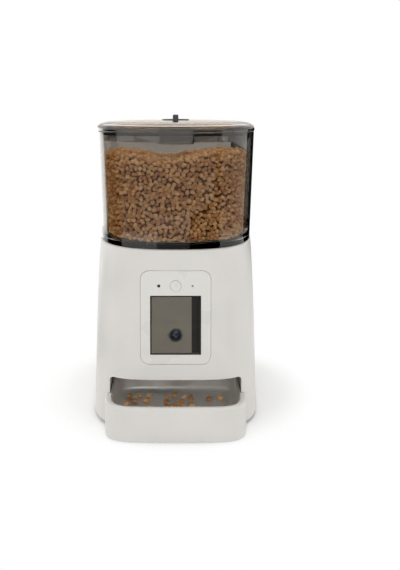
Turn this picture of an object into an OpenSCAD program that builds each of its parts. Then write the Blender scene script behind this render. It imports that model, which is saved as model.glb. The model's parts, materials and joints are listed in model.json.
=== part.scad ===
// Automatic pet feeder with a camera: a lofted housing, a smoked hopper with a lid,
// a vaned feed rotor over a chute, and a pull-out bowl tray.
// Front is -Y, up is +Z, and the feet stand on Z = 0.

/* [Housing] */
// Width of the housing at its foot
base_w = 184; // [178:1:192]
// Depth of the housing at its foot
base_d = 184; // [178:1:192]
// Width of the housing at the hopper seam
waist_w = 172; // [168:1:178]
// Depth of the housing at the hopper seam
waist_d = 172; // [168:1:178]
// Height of the housing wall
housing_h = 188.5; // [184:0.5:196]
// Wall thickness of the housing
wall = 2.8; // [2.4:0.1:3.2]
// Squareness of the foot outline
base_square = 3.9; // [3.6:0.1:4.6]
// Squareness of the seam outline
waist_square = 2.65; // [2.5:0.05:3]
// How late the outline turns round towards the seam
square_ease = 5; // [4:1:7]
// Rounding of the housing's edges
edge_r = 1.8; // [1:0.1:2.2]
// Width of the inner ledge that carries the hopper seat
ledge_w = 4.2; // [3:0.1:5]

/* [Base] */
// Height of the rubber feet
foot_h = 3; // [2:0.5:5]
// Diameter of a rubber foot
foot_d = 16; // [12:1:20]
// Thickness of the base plate
base_t = 3; // [2.8:0.1:4]
// Distance from the housing's sides to the middle of a foot
foot_in = 26; // [22:1:32]
// Diameter of a screw boss in the housing
boss_d = 10; // [8:0.5:12]
// Height of a screw boss in the housing
boss_h = 26; // [16:1:30]
// Thread diameter of the screws
screw_d = 3; // [2.5:0.1:3.5]
// Height of a screw head
screw_head_h = 2; // [1.6:0.1:2.2]

/* [Hopper] */
// Height of the clear hopper wall
hopper_h = 121; // [110:1:136]
// Width of the hopper at its rim
rim_w = 177.5; // [172:0.5:184]
// Depth of the hopper at its rim
rim_d = 177.5; // [172:0.5:184]
// Squareness of the rim outline
rim_square = 2.75; // [2.5:0.05:3.2]
// Step in from the housing to the hopper at the seam
hopper_step = 1; // [0.6:0.1:1.6]
// Wall thickness of the hopper
hopper_wall = 2.6; // [2:0.1:3]
// Depth of the funnel below the seam
funnel_h = 31; // [28:1:36]
// Outside diameter of the hopper outlet
outlet_d = 108; // [100:1:112]
// Length of the round outlet spigot
spigot_h = 4; // [3:0.5:6]

/* [Lid] */
// How far the lid edge stands out over the hopper rim
lid_lap = 0.5; // [0.3:0.1:1]
// Height of the lid's upright side
lid_edge_h = 3; // [2:0.1:5]
// Width of the lid's rounded edge
lid_round_w = 16; // [12:0.5:20]
// Height of the lid's rounded edge
lid_round_h = 6.8; // [5:0.1:8]
// Rise of the lid's crown above its rounded edge
crown_h = 1.3; // [0.8:0.1:3]
// Wall thickness of the lid
lid_wall = 2.4; // [2:0.1:3]
// Depth of the lid skirt inside the hopper
skirt_h = 10; // [8:0.5:14]
// Height of the seal round the skirt
seal_h = 3.4; // [2.6:0.1:4.5]

/* [Knob and desiccant basket] */
// Diameter of the dished knob
knob_d = 31.2; // [28:0.1:34]
// Depth of the well that holds the knob
well_h = 5.3; // [5:0.1:6]
// Thickness of the knob's fin
fin_t = 6.5; // [5:0.1:8]
// Height of the fin above the crown
fin_rise = 6.2; // [4:0.1:8]
// Height of the knob's rim above the crown
dish_proud = 1; // [0.5:0.1:2]
// Diameter of the knob spindle
spindle_d = 8; // [6:0.1:9]
// Outside diameter of the guard tube under the lid
tube_d = 43.8; // [42:0.1:50]
// Depth of the guard tube below the hopper rim
tube_drop = 16.2; // [14:0.1:22]
// Wall thickness of the guard tube
tube_wall = 1.8; // [1.4:0.1:2.2]
// Diameter of the collar under the well
collar_d = 29; // [24:0.5:32]
// Thickness of the collar
collar_t = 3; // [2:0.1:4]
// Height of the desiccant basket
basket_h = 9.3; // [8:0.1:12]
// Number of slots round the basket
basket_slots = 12; // [8:1:16]

/* [Front panel] */
// Width of the panel
panel_w = 73.3; // [70:0.1:78]
// Height of the panel
panel_h = 98.5; // [94:0.5:102]
// Height of the panel's centre above the floor
panel_z = 120.6; // [118:0.1:124]
// Corner radius of the panel
panel_r = 9.5; // [6:0.5:12]
// Thickness of the panel
panel_t = 1.9; // [1.7:0.1:2.3]
// How far the panel face lies below the housing's front
panel_sink = 0.7; // [0.4:0.1:1]
// Width of the smoked window
window_w = 53.1; // [50:0.1:55]
// Height of the smoked window
window_h = 62.3; // [58:0.1:64]
// Thickness of the smoked window
window_t = 1.2; // [0.8:0.1:1.4]
// Height of the window's centre from the panel's centre
window_rise = -8; // [-10:0.1:-6]
// Height of the lens from the panel's centre
lens_rise = -18.6; // [-22:0.1:-14]
// Diameter of the lens ring
lens_d = 13.7; // [12:0.1:16]
// Height of the feed button from the panel's centre
button_rise = 33.3; // [31:0.1:36]
// Diameter of the feed button
button_d = 11.3; // [10:0.1:13]
// Travel of the feed button
button_travel = 0.8; // [0.5:0.1:1]
// Sideways distance from the button to the dots
dot_x = 17.5; // [16:0.1:20]
// Diameter of the light sensor dot
sensor_d = 3; // [2.4:0.1:4]
// Diameter of the status light dot
light_d = 1.6; // [1.4:0.1:2.4]
// Distance from the panel face to the board behind it
board_depth = 14; // [13:0.5:16]

/* [Mouth and tray] */
// Width of the mouth
mouth_w = 139; // [132:1:142]
// Height of the mouth's upper edge above the floor
mouth_top = 54.6; // [50:0.1:58]
// Corner radius of the mouth
mouth_r = 4; // [2:0.5:8]
// How far the tray stands out in front of the housing foot
tray_proud = 22.5; // [18:0.5:32]
// How far the tray front laps the mouth on each side
tray_lap = 4.5; // [3:0.5:6]
// Height of the tray rim above the floor
tray_rim = 37; // [33:0.5:40]
// Gap between the tray front and the floor
tray_lift = 1; // [0.6:0.1:2]
// Thickness of the tray's walls at the rim
tray_wall = 2.4; // [2:0.1:3]
// Squareness of the tray front
tray_square = 5.6; // [5:0.1:7]
// Sheet thickness of the steel bowl
bowl_t = 0.8; // [0.6:0.1:1.2]
// Inner width allowance of the bay each side of the mouth
bay_room = 1; // [0.6:0.1:2]
// Height of the bay ceiling above the mouth's upper edge
bay_rise = 8; // [6:0.5:9]

/* [Feeding] */
// Height of the rotor vanes
rotor_h = 22; // [18:0.5:26]
// Number of rotor vanes
rotor_vanes = 6; // [4:1:8]
// Thickness of a rotor vane
vane_t = 2.4; // [1.8:0.1:3]
// Diameter of the rotor hub
hub_d = 22; // [18:0.5:24]
// Gap between the hopper outlet and the rotor cup
cup_room = 2; // [1:0.1:3]
// Thickness of the cup's walls and floor
cup_t = 3; // [2.4:0.1:3.6]
// Diameter of the drive shaft
shaft_d = 6; // [5:0.1:7]
// Diameter of the motor's gearbox
gearbox_d = 37; // [32:0.5:38]
// Height of the motor's gearbox
gearbox_h = 22; // [18:0.5:26]
// Diameter of the motor can
can_d = 33; // [28:0.5:35]
// Height of the motor can
can_h = 28; // [22:0.5:30]
// Width of the chute
chute_w = 52; // [44:1:54]
// Wall thickness of the chute
chute_t = 2; // [1.6:0.1:2.4]

/* [Power] */
// Diameter of a backup cell
cell_d = 34.2; // [33:0.1:34.2]
// Length of a backup cell
cell_l = 61.5; // [58:0.5:61.5]
// Number of backup cells
cell_count = 3; // [2:1:3]
// Wall thickness of the battery box
box_t = 2; // [1.6:0.1:2.4]
// Height of the power inlet above the floor
inlet_z = 62; // [58:0.5:70]
// Thread diameter of the power inlet
inlet_d = 10.8; // [9:0.1:12]
// Bore of the power inlet
inlet_bore = 5.5; // [5:0.1:6]
// Diameter of the speaker
speaker_d = 24; // [20:1:24]

/* [Fits] */
// Gap between pieces that part or slide
slide_gap = 0.3; // [0.2:0.05:0.4]
// Gap at a seat that is glued or pressed
seat_gap = 0.1; // [0.05:0.01:0.15]
// Radial gap at a turning pin
run_gap = 0.05; // [0.02:0.01:0.08]

/* [Hidden] */
$fn = 64;
facets = 80;
// How far a cut runs past the face that it opens
over = 1;
seam_z = foot_h + housing_h;
rim_z = seam_z + slide_gap + hopper_h;
base_top = foot_h + base_t;
foot_soft = 1;
lid_w = rim_w + 2 * lid_lap;
lid_d = rim_d + 2 * lid_lap;
axis_y = (base_d / 2 + tray_proud - max(base_d, lid_d) / 2) / 2;

// Screws and their bosses
head_r = 0.95 * screw_d;
recess_w = 0.7;
recess_h = 1.5;
boss_sink = 1;
boss_end = 3;
tip_room = 4;
base_screw_z = foot_h + screw_head_h;
base_screw_l = base_top + boss_h - boss_end - tip_room - base_screw_z;

// Hopper seat and funnel
ledge_drop = 3;
ledge_t = 2.4;
seat_t = 2;
ledge_z = seam_z - ledge_drop;
ledge_inset = wall + ledge_w;
seat_inset = ledge_inset + slide_gap + seat_t;
funnel_room = 1.2;
funnel_inset = seat_inset + funnel_room;
funnel_lip = 1.4;
shelf_slope = 5;
seat_boss_r = 3.6;
seat_boss_h = 14;
outlet_r = outlet_d / 2;
cup_r = outlet_r + cup_room;
funnel_z = seam_z - funnel_h;
spigot_z = funnel_z - spigot_h;
floor_t = 2;
floor_z = spigot_z + 1;
floor_rim = 4;
floor_front = 6;
nose_room = 5;

// Rotor, cup and motor stack, from the outlet downwards
rotor_room = 1.5;
rotor_top = spigot_z - rotor_room;
rotor_z = rotor_top - rotor_h;
cup_z = rotor_z - 0.5;
cup_bottom = cup_z - cup_t;
cup_lip = 3;
seat_z = funnel_z - 2;
vane_r = cup_r - 1.2;
nose_h = 18;
nose_r = hub_d / 2 - 6;
window_in = 13;
window_out = 5;
hub_r = hub_d / 2;
bush_r = shaft_d / 2 + 3;
bush_flange_t = 1.5;
bush_flange_w = 2;
motor_top = cup_bottom - bush_flange_t;
ear_r = 5;
ear_t = 2;
ear_out = gearbox_d / 2 + ear_r + 0.5;
ear_angles = [0, 90, 180];
pillar_r = 4;
motor_screw_in = cup_t + 0.2;
can_boss_r = 6;
can_boss_h = 2;
cup_ear_out = cup_r + 16;
cup_ear_angles = [45, 135, 225, 315];
cup_screw_in = 7;
shaft_in_motor = 17;
shaft_bottom = motor_top - shaft_in_motor;
shaft_top = rotor_top - 5;

// Chute, bay and tray, along Y from the housing's axis
chute_back = -(gearbox_d / 2 + 1.5);
chute_front = -(cup_r - 3);
bay_ceiling = mouth_top + bay_rise;
bay_t = 2;
tray_front = -(base_d / 2 + tray_proud);
tray_back = chute_back + 1;
tray_soft = 2.2;
tray_w = mouth_w + 2 * tray_lap;
drawer_w = mouth_w - 4 * slide_gap;
drawer_wall = 1.3;
cavity_w = drawer_w - 2 * drawer_wall;
cavity_front = tray_front + tray_wall + tray_soft;
cavity_back = tray_back - drawer_wall;
cavity_square = tray_square + 1;
drawer_z = base_top + slide_gap;
cavity_z = drawer_z + tray_wall;
bowl_drop = 0.8;
bowl_round_w = 9;
bowl_round_h = 5.4;
bowl_draft = 1;
bay_w = mouth_w + 2 * bay_room;
bay_back = tray_back + 1.5;
boss_y = bay_back + bay_t + boss_d / 2 + 1;

// Lid and knob stack
lid_z = rim_z + slide_gap;
lid_edge_z = lid_z + lid_edge_h;
crown_edge_z = lid_edge_z + lid_round_h;
crown_z = crown_edge_z + crown_h;
skirt_inset = lid_lap + hopper_wall + 2.8;
skirt_t = 2;
lid_soft = 0.7;
// Turns of the rings on the rounded edge, from its upright side to the crown
edge_turns = [22.5, 45, 67.5, 90];
// Width share, rise share and squareness share of the ring that carries the crown
crown_mid = [0.55, 0.7, 0.7];
well_r = knob_d / 2 + 0.4;
well_z = crown_z - well_h;
well_floor_t = 2.5;
well_wall = 1.8;
tube_r = tube_d / 2;
tube_in_r = tube_r - tube_wall;
tube_z = rim_z - tube_drop;
collar_z = well_z - well_floor_t - slide_gap - collar_t;
basket_r = tube_in_r - 0.9;
basket_t = 1.6;
basket_z = tube_z + 3;
basket_top = basket_z + basket_h;
spindle_r = spindle_d / 2;
sleeve_r = spindle_r + 2.4;
knob_foot_z = basket_z + basket_t + 0.4;
dish_rim_z = crown_z + dish_proud;
dish_rim_w = 1.6;
dish_rim_h = 1.5;
dish_hub_r = spindle_r + 1.5;
dish_floor_t = 2.2;
fin_in = 0.8;
fin_l = knob_d - 2 * fin_in;
fin_top = crown_z + fin_rise;
fin_slope_w = 1.8;
fin_slope_h = 3;
notch_r = 3;
basket_dome = 1.6;
basket_soft = 1.6;
pack_gap = 0.3;
pack_drop = 0.8;
pack_soft = 1;
basket_slot_w = 6;
seal_lip = 0.4;
seal_room = 0.3;

// Panel and what it carries, in depth below the panel face
lean = atan((base_d - waist_d) / 2 / housing_h);
frame_lap = 4.2;
frame_t = 2.6;
window_lip = 1.5;
post_x = window_w / 2 + 2.7;
post_y = panel_h / 2 - 16;
post_r = 2.4;
post_screw_r = 1;
post_screw_in = 6;
board_head_r = 1.9;
board_head_h = 1.4;
board_w = 2 * post_x + 5;
board_r = 3;
board_lap = 0.4;
board_t = 1.6;
lens_r = lens_d / 2;
glass_r = lens_r - 2.35;
glass_z = 4.7;
dome_h = 0.75 * glass_r;
dome_r = 2 * glass_r;
lens_proud = 0.3;
lens_soft = 0.4;
lens_cone_w = 1.2;
lens_cone_h = 2.4;
lens_foot = 2;
lens_floor_t = 3;
lens_step = 1;
mic_rise = 14.1;
mic_r = 0.8;
switch_w = 12;
board_h = 2 * (button_rise + switch_w / 2 + board_lap);
switch_h = 4.5;
plunger_r = 1.7;
button_proud = 0.3;
button_room = 0.25;
button_soft = 0.4;
button_rim = 1.4;
flange_top = panel_t + slide_gap;
flange_h = 1;
stem_r = 2.5;
switch_top = board_depth - switch_h;
stem_end = switch_top - button_travel - 0.5;
plunger_end = switch_top + 1.1;

// Battery box and boards
cell_room = 0.3;
box_w = cell_count * (cell_d + cell_room) + cell_room + 2 * box_t;
contact_room = 2.7;
contact_w = 12;
contact_h = 20;
contact_z = 8;
contact_t = 0.6;
nub_r = 4.75;
nub_h = 1.5;
box_in_l = cell_l + 6;
box_y = bay_back + bay_t + 4;
box_l = box_in_l + 2 * box_t;
box_h = cell_d + 2 * cell_room + box_t;
door_lap = 3;
door_step_t = 1.5;
door_tab_r = 6;
door_boss_h = 6;
door_boss_r = 4;
post_h = 4;
main_board_z = base_top + box_h + post_h;
peg_r = 1.5;
peg_h = 2;
main_board_w = 96;
main_board_l = 56;
peg_in = 5;
// Boxes on the main board: place along X and Y, then length, width and height
board_boxes = [[-21, 9, 18, 18, 3], [14, -8, 12, 12, 2], [1, 15, 14, 6, 5]];
capacitor = [30, 10, 4, 9];
speaker_x = (box_w / 2 + base_w / 2 - wall) / 2;
speaker_y = 30;
speaker_h = 7;
magnet_h = 6;
magnet_r = speaker_d / 2 - 4;
cone_h = 2;
slot_w = 1.8;
slot_pitch = 4;
slot_l = 16;
inlet_flange_w = 1.8;
inlet_flange_t = 1;
inlet_back = 14;
inlet_depth = 9;
inlet_pin_r = 1.05;
nut_w = 2.4;
nut_t = 2.6;

// Outlines and lofts

function mix(from, to, f) = from + (to - from) * f;
// Distance from the axis to a rounded-square outline at a polar angle
function outline_r(w, d, square, angle) =
    pow(pow(abs(cos(angle)) / (w / 2), square) + pow(abs(sin(angle)) / (d / 2), square), -1 / square);
function ring(w, d, square, z) = [for (k = [0:facets - 1])
    let (angle = 360 * k / facets, r = outline_r(w, d, square, angle))
    [r * cos(angle), r * sin(angle), z]];
function flat_ring(w, d, square) = [for (p = ring(w, d, square, 0)) [p[0], p[1]]];
function round_ring(r, z) = ring(2 * r, 2 * r, 2, z);

// Housing outline at a height, drawn in from its outer face
function rise(z) = (z - foot_h) / housing_h;
function house_square(z) = mix(base_square, waist_square, pow(max(0, rise(z)), square_ease));
function house_w(z, inset) = mix(base_w, waist_w, rise(z)) - 2 * inset;
function house_d(z, inset) = mix(base_d, waist_d, rise(z)) - 2 * inset;
function house_ring(z, inset) = ring(house_w(z, inset), house_d(z, inset), house_square(z), z);
function house_r(z, inset, angle) =
    outline_r(house_w(z, inset), house_d(z, inset), house_square(z), angle);
house_steps = [0.5, 0.7, 0.8, 0.88, 0.94];
function house_level(f) = foot_h + housing_h * f;

// Lid outline, drawn in from its outer edge
function lid_ring(z, inset) = ring(lid_w - 2 * inset, lid_d - 2 * inset, rim_square, z);

// Triangles between one ring of points and the next
function band(low, high) = [for (k = [0:facets - 1])
    let (a = low * facets + k, b = low * facets + (k + 1) % facets,
        c = high * facets + (k + 1) % facets, d = high * facets + k)
    each [[a, d, c], [a, c, b]]];

// Middle of a ring of points
function middle(points) = [for (axis = [0:2]) mean([for (p = points) p[axis]])];
function mean(values) = [for (v = values) 1] * values / len(values);

// Closed shell whose rings run up the outside and down the inside
module shell_loft(rings) {
    count = len(rings);
    polyhedron([for (r = rings) each r],
        [for (i = [0:count - 1]) each band(i, (i + 1) % count)]);
}

// Loft that is capped at its first and last ring
module capped_loft(rings) {
    count = len(rings);
    last = (count - 1) * facets;
    centre = count * facets;
    polyhedron(concat([for (r = rings) each r], [middle(rings[0]), middle(rings[count - 1])]), concat(
        [for (k = [0:facets - 1]) [centre, k, (k + 1) % facets]],
        [for (i = [0:count - 2]) each band(i, i + 1)],
        [for (k = [0:facets - 1]) [centre + 1, last + (k + 1) % facets, last + k]]));
}

// Space inside the housing outline between two heights
module house_core(inset, low, high) {
    capped_loft([house_ring(low, inset), house_ring(high, inset)]);
}

module rounded_rect(w, h, r) {
    square([w - 2 * r, h], center = true);
    square([w, h - 2 * r], center = true);
    for (x = [-1, 1], y = [-1, 1])
        translate([x * (w / 2 - r), y * (h / 2 - r)]) circle(r);
}

// Panel frame: x to the right, y up the leaning front, z outwards from the panel face
module at_panel() {
    front = house_d(panel_z, 0) / 2 - panel_sink;
    translate([0, -front, panel_z]) rotate([90 - lean, 0, 0]) children();
}

// Round solid between two depths below the panel face
module pin_in(x, y, r, top, bottom) {
    translate([x, y, -bottom]) cylinder(h = bottom - top, r = r);
}

// Screw with its head at z = 0 and its shank upwards
module screw_up(length) {
    cylinder(h = length, r = screw_d / 2);
    translate([0, 0, -screw_head_h]) difference() {
        cylinder(h = screw_head_h, r = head_r);
        for (turn = [0, 90])
            rotate([0, 0, turn]) translate([-head_r * 0.6, -recess_w / 2, -over])
                cube([head_r * 1.2, recess_w, recess_h + over]);
    }
}

// Two bosses at the back corners and two at the sides, behind the bowl bay
module at_bosses() {
    for (angle = [45, 135]) {
        r = house_r(base_top, wall, angle) - boss_d / 2 + boss_sink;
        translate([r * cos(angle), r * sin(angle), 0]) children();
    }
    for (side = [-1, 1])
        translate([side * (house_w(base_top, wall) / 2 - boss_d / 2 + boss_sink), boss_y, 0]) children();
}

module at_corners(x, y) {
    for (sx = [-1, 1], sy = [-1, 1]) translate([sx * x, sy * y, 0]) children();
}

module at_polar(r, angles) {
    for (angle = angles) rotate([0, 0, angle]) translate([r, 0, 0]) children();
}

// Housing

module housing_wall() {
    soft = edge_r * (1 - cos(45));
    shell_loft(concat(
        [house_ring(foot_h, edge_r), house_ring(foot_h + soft, soft), house_ring(foot_h + edge_r, 0)],
        [for (f = house_steps) house_ring(house_level(f), 0)],
        [house_ring(seam_z - edge_r, 0), house_ring(seam_z - soft, soft), house_ring(seam_z, edge_r)],
        [house_ring(seam_z, wall), house_ring(ledge_z, wall), house_ring(ledge_z, ledge_inset)],
        [house_ring(ledge_z - ledge_t, ledge_inset)],
        [house_ring(ledge_z - ledge_t - ledge_w, wall)],
        [for (i = [len(house_steps) - 1:-1:0]) house_ring(house_level(house_steps[i]), wall)],
        [house_ring(foot_h, wall)]));
}

module mouth_cut() {
    reach = base_d / 2 + over;
    inner = base_d / 4;
    rotate([90, 0, 0]) translate([0, 0, inner]) linear_extrude(reach - inner) {
        translate([-mouth_w / 2, 0]) square([mouth_w, mouth_top - mouth_r]);
        translate([-mouth_w / 2 + mouth_r, 0]) square([mouth_w - 2 * mouth_r, mouth_top]);
        for (side = [-1, 1])
            translate([side * (mouth_w / 2 - mouth_r), mouth_top - mouth_r]) circle(mouth_r);
    }
}

module body_shell() color("whitesmoke") difference() {
    union() {
        housing_wall();
        at_panel() translate([0, 0, -panel_t - frame_t]) linear_extrude(frame_t)
            rounded_rect(panel_w + 2 * frame_lap, panel_h + frame_lap, panel_r);
        intersection() {
            at_bosses() translate([0, 0, base_top]) cylinder(h = boss_h, r = boss_d / 2);
            house_core(wall / 2, base_top - over, base_top + boss_h + over);
        }
    }
    mouth_cut();
    at_panel() {
        translate([0, 0, -panel_t]) linear_extrude(panel_t + panel_sink + over)
            rounded_rect(panel_w + 2 * seat_gap, panel_h + 2 * seat_gap, panel_r + seat_gap);
        translate([0, 0, -panel_t - frame_t - over]) linear_extrude(frame_t + 2 * over)
            rounded_rect(panel_w - 2 * frame_lap, panel_h - 2 * frame_lap, panel_r - frame_lap / 2);
    }
    at_bosses() translate([0, 0, base_top - over])
        cylinder(h = boss_h - boss_end + over, r = screw_d / 2 + run_gap);
    at_inlet() translate([0, 0, -wall - over])
        cylinder(h = wall + 2 * over, r = inlet_d / 2 + seat_gap);
}

module base_plate() color("dimgray") difference() {
    union() {
        translate([0, 0, foot_h]) linear_extrude(base_t)
            polygon(flat_ring(house_w(base_top, wall + slide_gap), house_d(base_top, wall + slide_gap),
                base_square));
        at_door_screw() translate([0, 0, base_t / 2]) cylinder(h = base_t / 2 + door_boss_h, r = door_boss_r);
    }
    at_bosses() translate([0, 0, foot_h - over]) {
        cylinder(h = base_t + 2 * over, r = screw_d / 2 + seat_gap);
        cylinder(h = over + screw_head_h, r = head_r + seat_gap);
    }
    door_opening();
    at_door_screw() cylinder(h = base_t + door_boss_h - over, r = screw_d / 2 + run_gap);
    for (slot = [-2:2])
        translate([speaker_x + slot * slot_pitch, speaker_y, foot_h + base_t / 2])
            cube([slot_w, slot_l - slot_w * abs(slot), base_t + 2 * over], center = true);
}

module rubber_feet() color("black") at_corners(base_w / 2 - foot_in, base_d / 2 - foot_in)
    rotate_extrude() polygon([[0, 0], [foot_d / 2 - foot_soft, 0], [foot_d / 2, foot_soft],
        [foot_d / 2, foot_h], [0, foot_h]]);

module base_screws() color("silver") at_bosses()
    translate([0, 0, base_screw_z]) screw_up(base_screw_l);

// Front panel

module front_panel() color("white") at_panel() difference() {
    union() {
        translate([0, 0, -panel_t]) linear_extrude(panel_t) rounded_rect(panel_w, panel_h, panel_r);
        for (x = [-1, 1], y = [-1, 1])
            pin_in(x * post_x, y * post_y, post_r, panel_t / 2, board_depth);
    }
    translate([0, window_rise, -window_t]) linear_extrude(window_t + over)
        square([window_w, window_h], center = true);
    translate([0, window_rise, -panel_t - over]) linear_extrude(panel_t + 2 * over)
        square([window_w - 2 * window_lip, window_h - 2 * window_lip], center = true);
    pin_in(0, button_rise, button_d / 2 + button_room, -over, panel_t + over);
    pin_in(-dot_x, button_rise, sensor_d / 2 + run_gap, -over, panel_t + over);
    pin_in(dot_x, button_rise, light_d / 2 + run_gap, -over, panel_t + over);
    for (x = [-1, 1], y = [-1, 1])
        pin_in(x * post_x, y * post_y, post_screw_r + run_gap, board_depth - post_screw_in - over,
            board_depth + over);
}

module panel_window() color("darkslategray") at_panel() difference() {
    translate([0, window_rise, -window_t]) linear_extrude(window_t)
        square([window_w - 2 * seat_gap, window_h - 2 * seat_gap], center = true);
    pin_in(0, lens_rise, lens_r + seat_gap, -over, window_t + over);
    pin_in(0, lens_rise + mic_rise, mic_r, -over, window_t + over);
}

module lens_barrel() color("black") at_panel() translate([0, lens_rise, 0]) rotate_extrude()
    polygon([[glass_r, -lens_cone_h], [glass_r + lens_cone_w, lens_proud], [lens_r - lens_soft, lens_proud],
        [lens_r, lens_proud - lens_soft], [lens_r, lens_foot - board_depth],
        [lens_r + lens_foot, lens_foot - board_depth], [lens_r + lens_foot, -board_depth], [0, -board_depth],
        [0, lens_floor_t - board_depth], [glass_r - lens_step, lens_floor_t - board_depth],
        [glass_r - lens_step, -glass_z - seat_gap], [glass_r, -glass_z - seat_gap]]);

module lens_glass() color("midnightblue") at_panel() translate([0, lens_rise, -glass_z]) intersection() {
    cylinder(h = dome_h, r = glass_r - run_gap);
    translate([0, 0, dome_h - dome_r]) sphere(dome_r);
}

module light_sensor() color("black") at_panel()
    pin_in(-dot_x, button_rise, sensor_d / 2, 0, board_depth);

module status_light() color("gray") at_panel()
    pin_in(dot_x, button_rise, light_d / 2, 0, board_depth);

module control_board() color("darkgreen") at_panel() difference() {
    translate([0, 0, -board_depth - board_t]) linear_extrude(board_t)
        rounded_rect(board_w, board_h, board_r);
    for (x = [-1, 1], y = [-1, 1])
        pin_in(x * post_x, y * post_y, post_screw_r + seat_gap, board_depth - over,
            board_depth + board_t + over);
}

module board_screws() color("silver") at_panel() for (x = [-1, 1], y = [-1, 1])
    translate([x * post_x, y * post_y, -board_depth - board_t]) {
        cylinder(h = board_t + post_screw_in, r = post_screw_r);
        translate([0, 0, -board_head_h]) cylinder(h = board_head_h, r = board_head_r);
    }

module push_switch() color("dimgray") at_panel() difference() {
    translate([0, button_rise, -board_depth]) linear_extrude(switch_h)
        square(switch_w, center = true);
    pin_in(0, button_rise, plunger_r + run_gap, switch_top - over, plunger_end + button_travel + slide_gap);
}

module switch_plunger() color("black") at_panel()
    pin_in(0, button_rise, plunger_r, stem_end, plunger_end);

module feed_button() color("white") at_panel() {
    r = button_d / 2;
    translate([0, button_rise, 0]) rotate_extrude() polygon([[0, -stem_end], [stem_r, -stem_end],
        [stem_r, -flange_top - flange_h], [r + button_rim, -flange_top - flange_h],
        [r + button_rim, -flange_top], [r, -flange_top], [r, button_proud - button_soft],
        [r - button_soft, button_proud], [0, button_proud]]);
}

// Bowl bay and chute

module bay_liner() color("gainsboro") difference() {
    intersection() {
        translate([-bay_w / 2 - bay_t, tray_front, base_top])
            cube([bay_w + 2 * bay_t, bay_back + bay_t - tray_front, bay_ceiling + bay_t - base_top]);
        house_core(wall + slide_gap, base_top - over, bay_ceiling + bay_t + over);
    }
    translate([-bay_w / 2, tray_front - over, base_top - over])
        cube([bay_w, bay_back - tray_front + over, bay_ceiling - base_top + over]);
    translate([-chute_w / 2 + chute_t, chute_front + chute_t, bay_ceiling - over])
        cube([chute_w - 2 * chute_t, chute_back - chute_front - 2 * chute_t, bay_t + 2 * over]);
}

module discharge_chute() color("lightgray") difference() {
    depth = chute_back - chute_front;
    height = cup_bottom - bay_ceiling - bay_t;
    translate([-chute_w / 2, chute_front, bay_ceiling + bay_t]) cube([chute_w, depth, height]);
    translate([-chute_w / 2 + chute_t, chute_front + chute_t, bay_ceiling])
        cube([chute_w - 2 * chute_t, depth - 2 * chute_t, height + bay_t + over]);
}

// Feeding parts

module hopper_seat() color("whitesmoke") {
    flange_inset = wall + slide_gap;
    difference() {
        union() {
            shell_loft([
                round_ring(cup_r + cup_t, seat_z),
                house_ring(ledge_z - ledge_t, ledge_inset + slide_gap),
                house_ring(ledge_z, ledge_inset + slide_gap),
                house_ring(ledge_z, flange_inset),
                house_ring(ledge_z + seat_t, flange_inset),
                house_ring(ledge_z + seat_t, seat_inset),
                round_ring(cup_r, seat_z)]);
            at_polar(cup_ear_out, cup_ear_angles)
                translate([0, 0, seat_z]) cylinder(h = seat_boss_h, r = seat_boss_r);
        }
        at_polar(cup_ear_out, cup_ear_angles)
            translate([0, 0, seat_z - over]) cylinder(h = cup_screw_in + 2 * over, r = screw_d / 2 + run_gap);
    }
}

module rotor_cup() color("gainsboro") difference() {
    union() {
        rotate_extrude() polygon([[bush_r + run_gap, cup_bottom], [cup_r + cup_t, cup_bottom],
            [cup_r + cup_t, seat_z - cup_t], [cup_r + cup_t + cup_lip, seat_z - cup_t],
            [cup_r + cup_t + cup_lip, seat_z], [cup_r, seat_z], [cup_r, cup_z], [bush_r + run_gap, cup_z]]);
        at_polar(cup_ear_out, cup_ear_angles) translate([0, 0, seat_z - cup_t]) {
            cylinder(h = cup_t, r = ear_r);
            translate([-cup_ear_out + cup_r + cup_t, -ear_r, 0])
                cube([cup_ear_out - cup_r - cup_t, 2 * ear_r, cup_t]);
        }
        at_polar(ear_out, ear_angles)
            translate([0, 0, motor_top]) cylinder(h = cup_bottom - motor_top + over, r = pillar_r);
    }
    outlet_window(cup_bottom - over, cup_z + over);
    at_polar(cup_ear_out, cup_ear_angles)
        translate([0, 0, seat_z - cup_t - over]) cylinder(h = cup_t + 2 * over, r = screw_d / 2 + seat_gap);
    at_polar(ear_out, ear_angles) translate([0, 0, motor_top - over])
        cylinder(h = motor_screw_in + slide_gap + over, r = screw_d / 2 + run_gap);
}

// Opening in the cup floor, over the chute
module outlet_window(low, high) {
    inner = bush_r + window_in;
    outer = cup_r - window_out;
    half = chute_w / 2 - chute_t - 3;
    translate([0, 0, low]) linear_extrude(high - low) intersection() {
        difference() {
            circle(outer);
            circle(inner);
        }
        translate([-half, -cup_r]) square([2 * half, cup_r]);
    }
}

module cup_screws() color("silver") at_polar(cup_ear_out, cup_ear_angles)
    translate([0, 0, seat_z - cup_t]) screw_up(cup_t + cup_screw_in);

module shaft_bush() color("goldenrod") rotate_extrude() {
    bore = shaft_d / 2 + run_gap;
    polygon([[bore, motor_top], [bush_r + bush_flange_w, motor_top], [bush_r + bush_flange_w, cup_bottom],
        [bush_r, cup_bottom], [bush_r, cup_z], [bore, cup_z]]);
}

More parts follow.
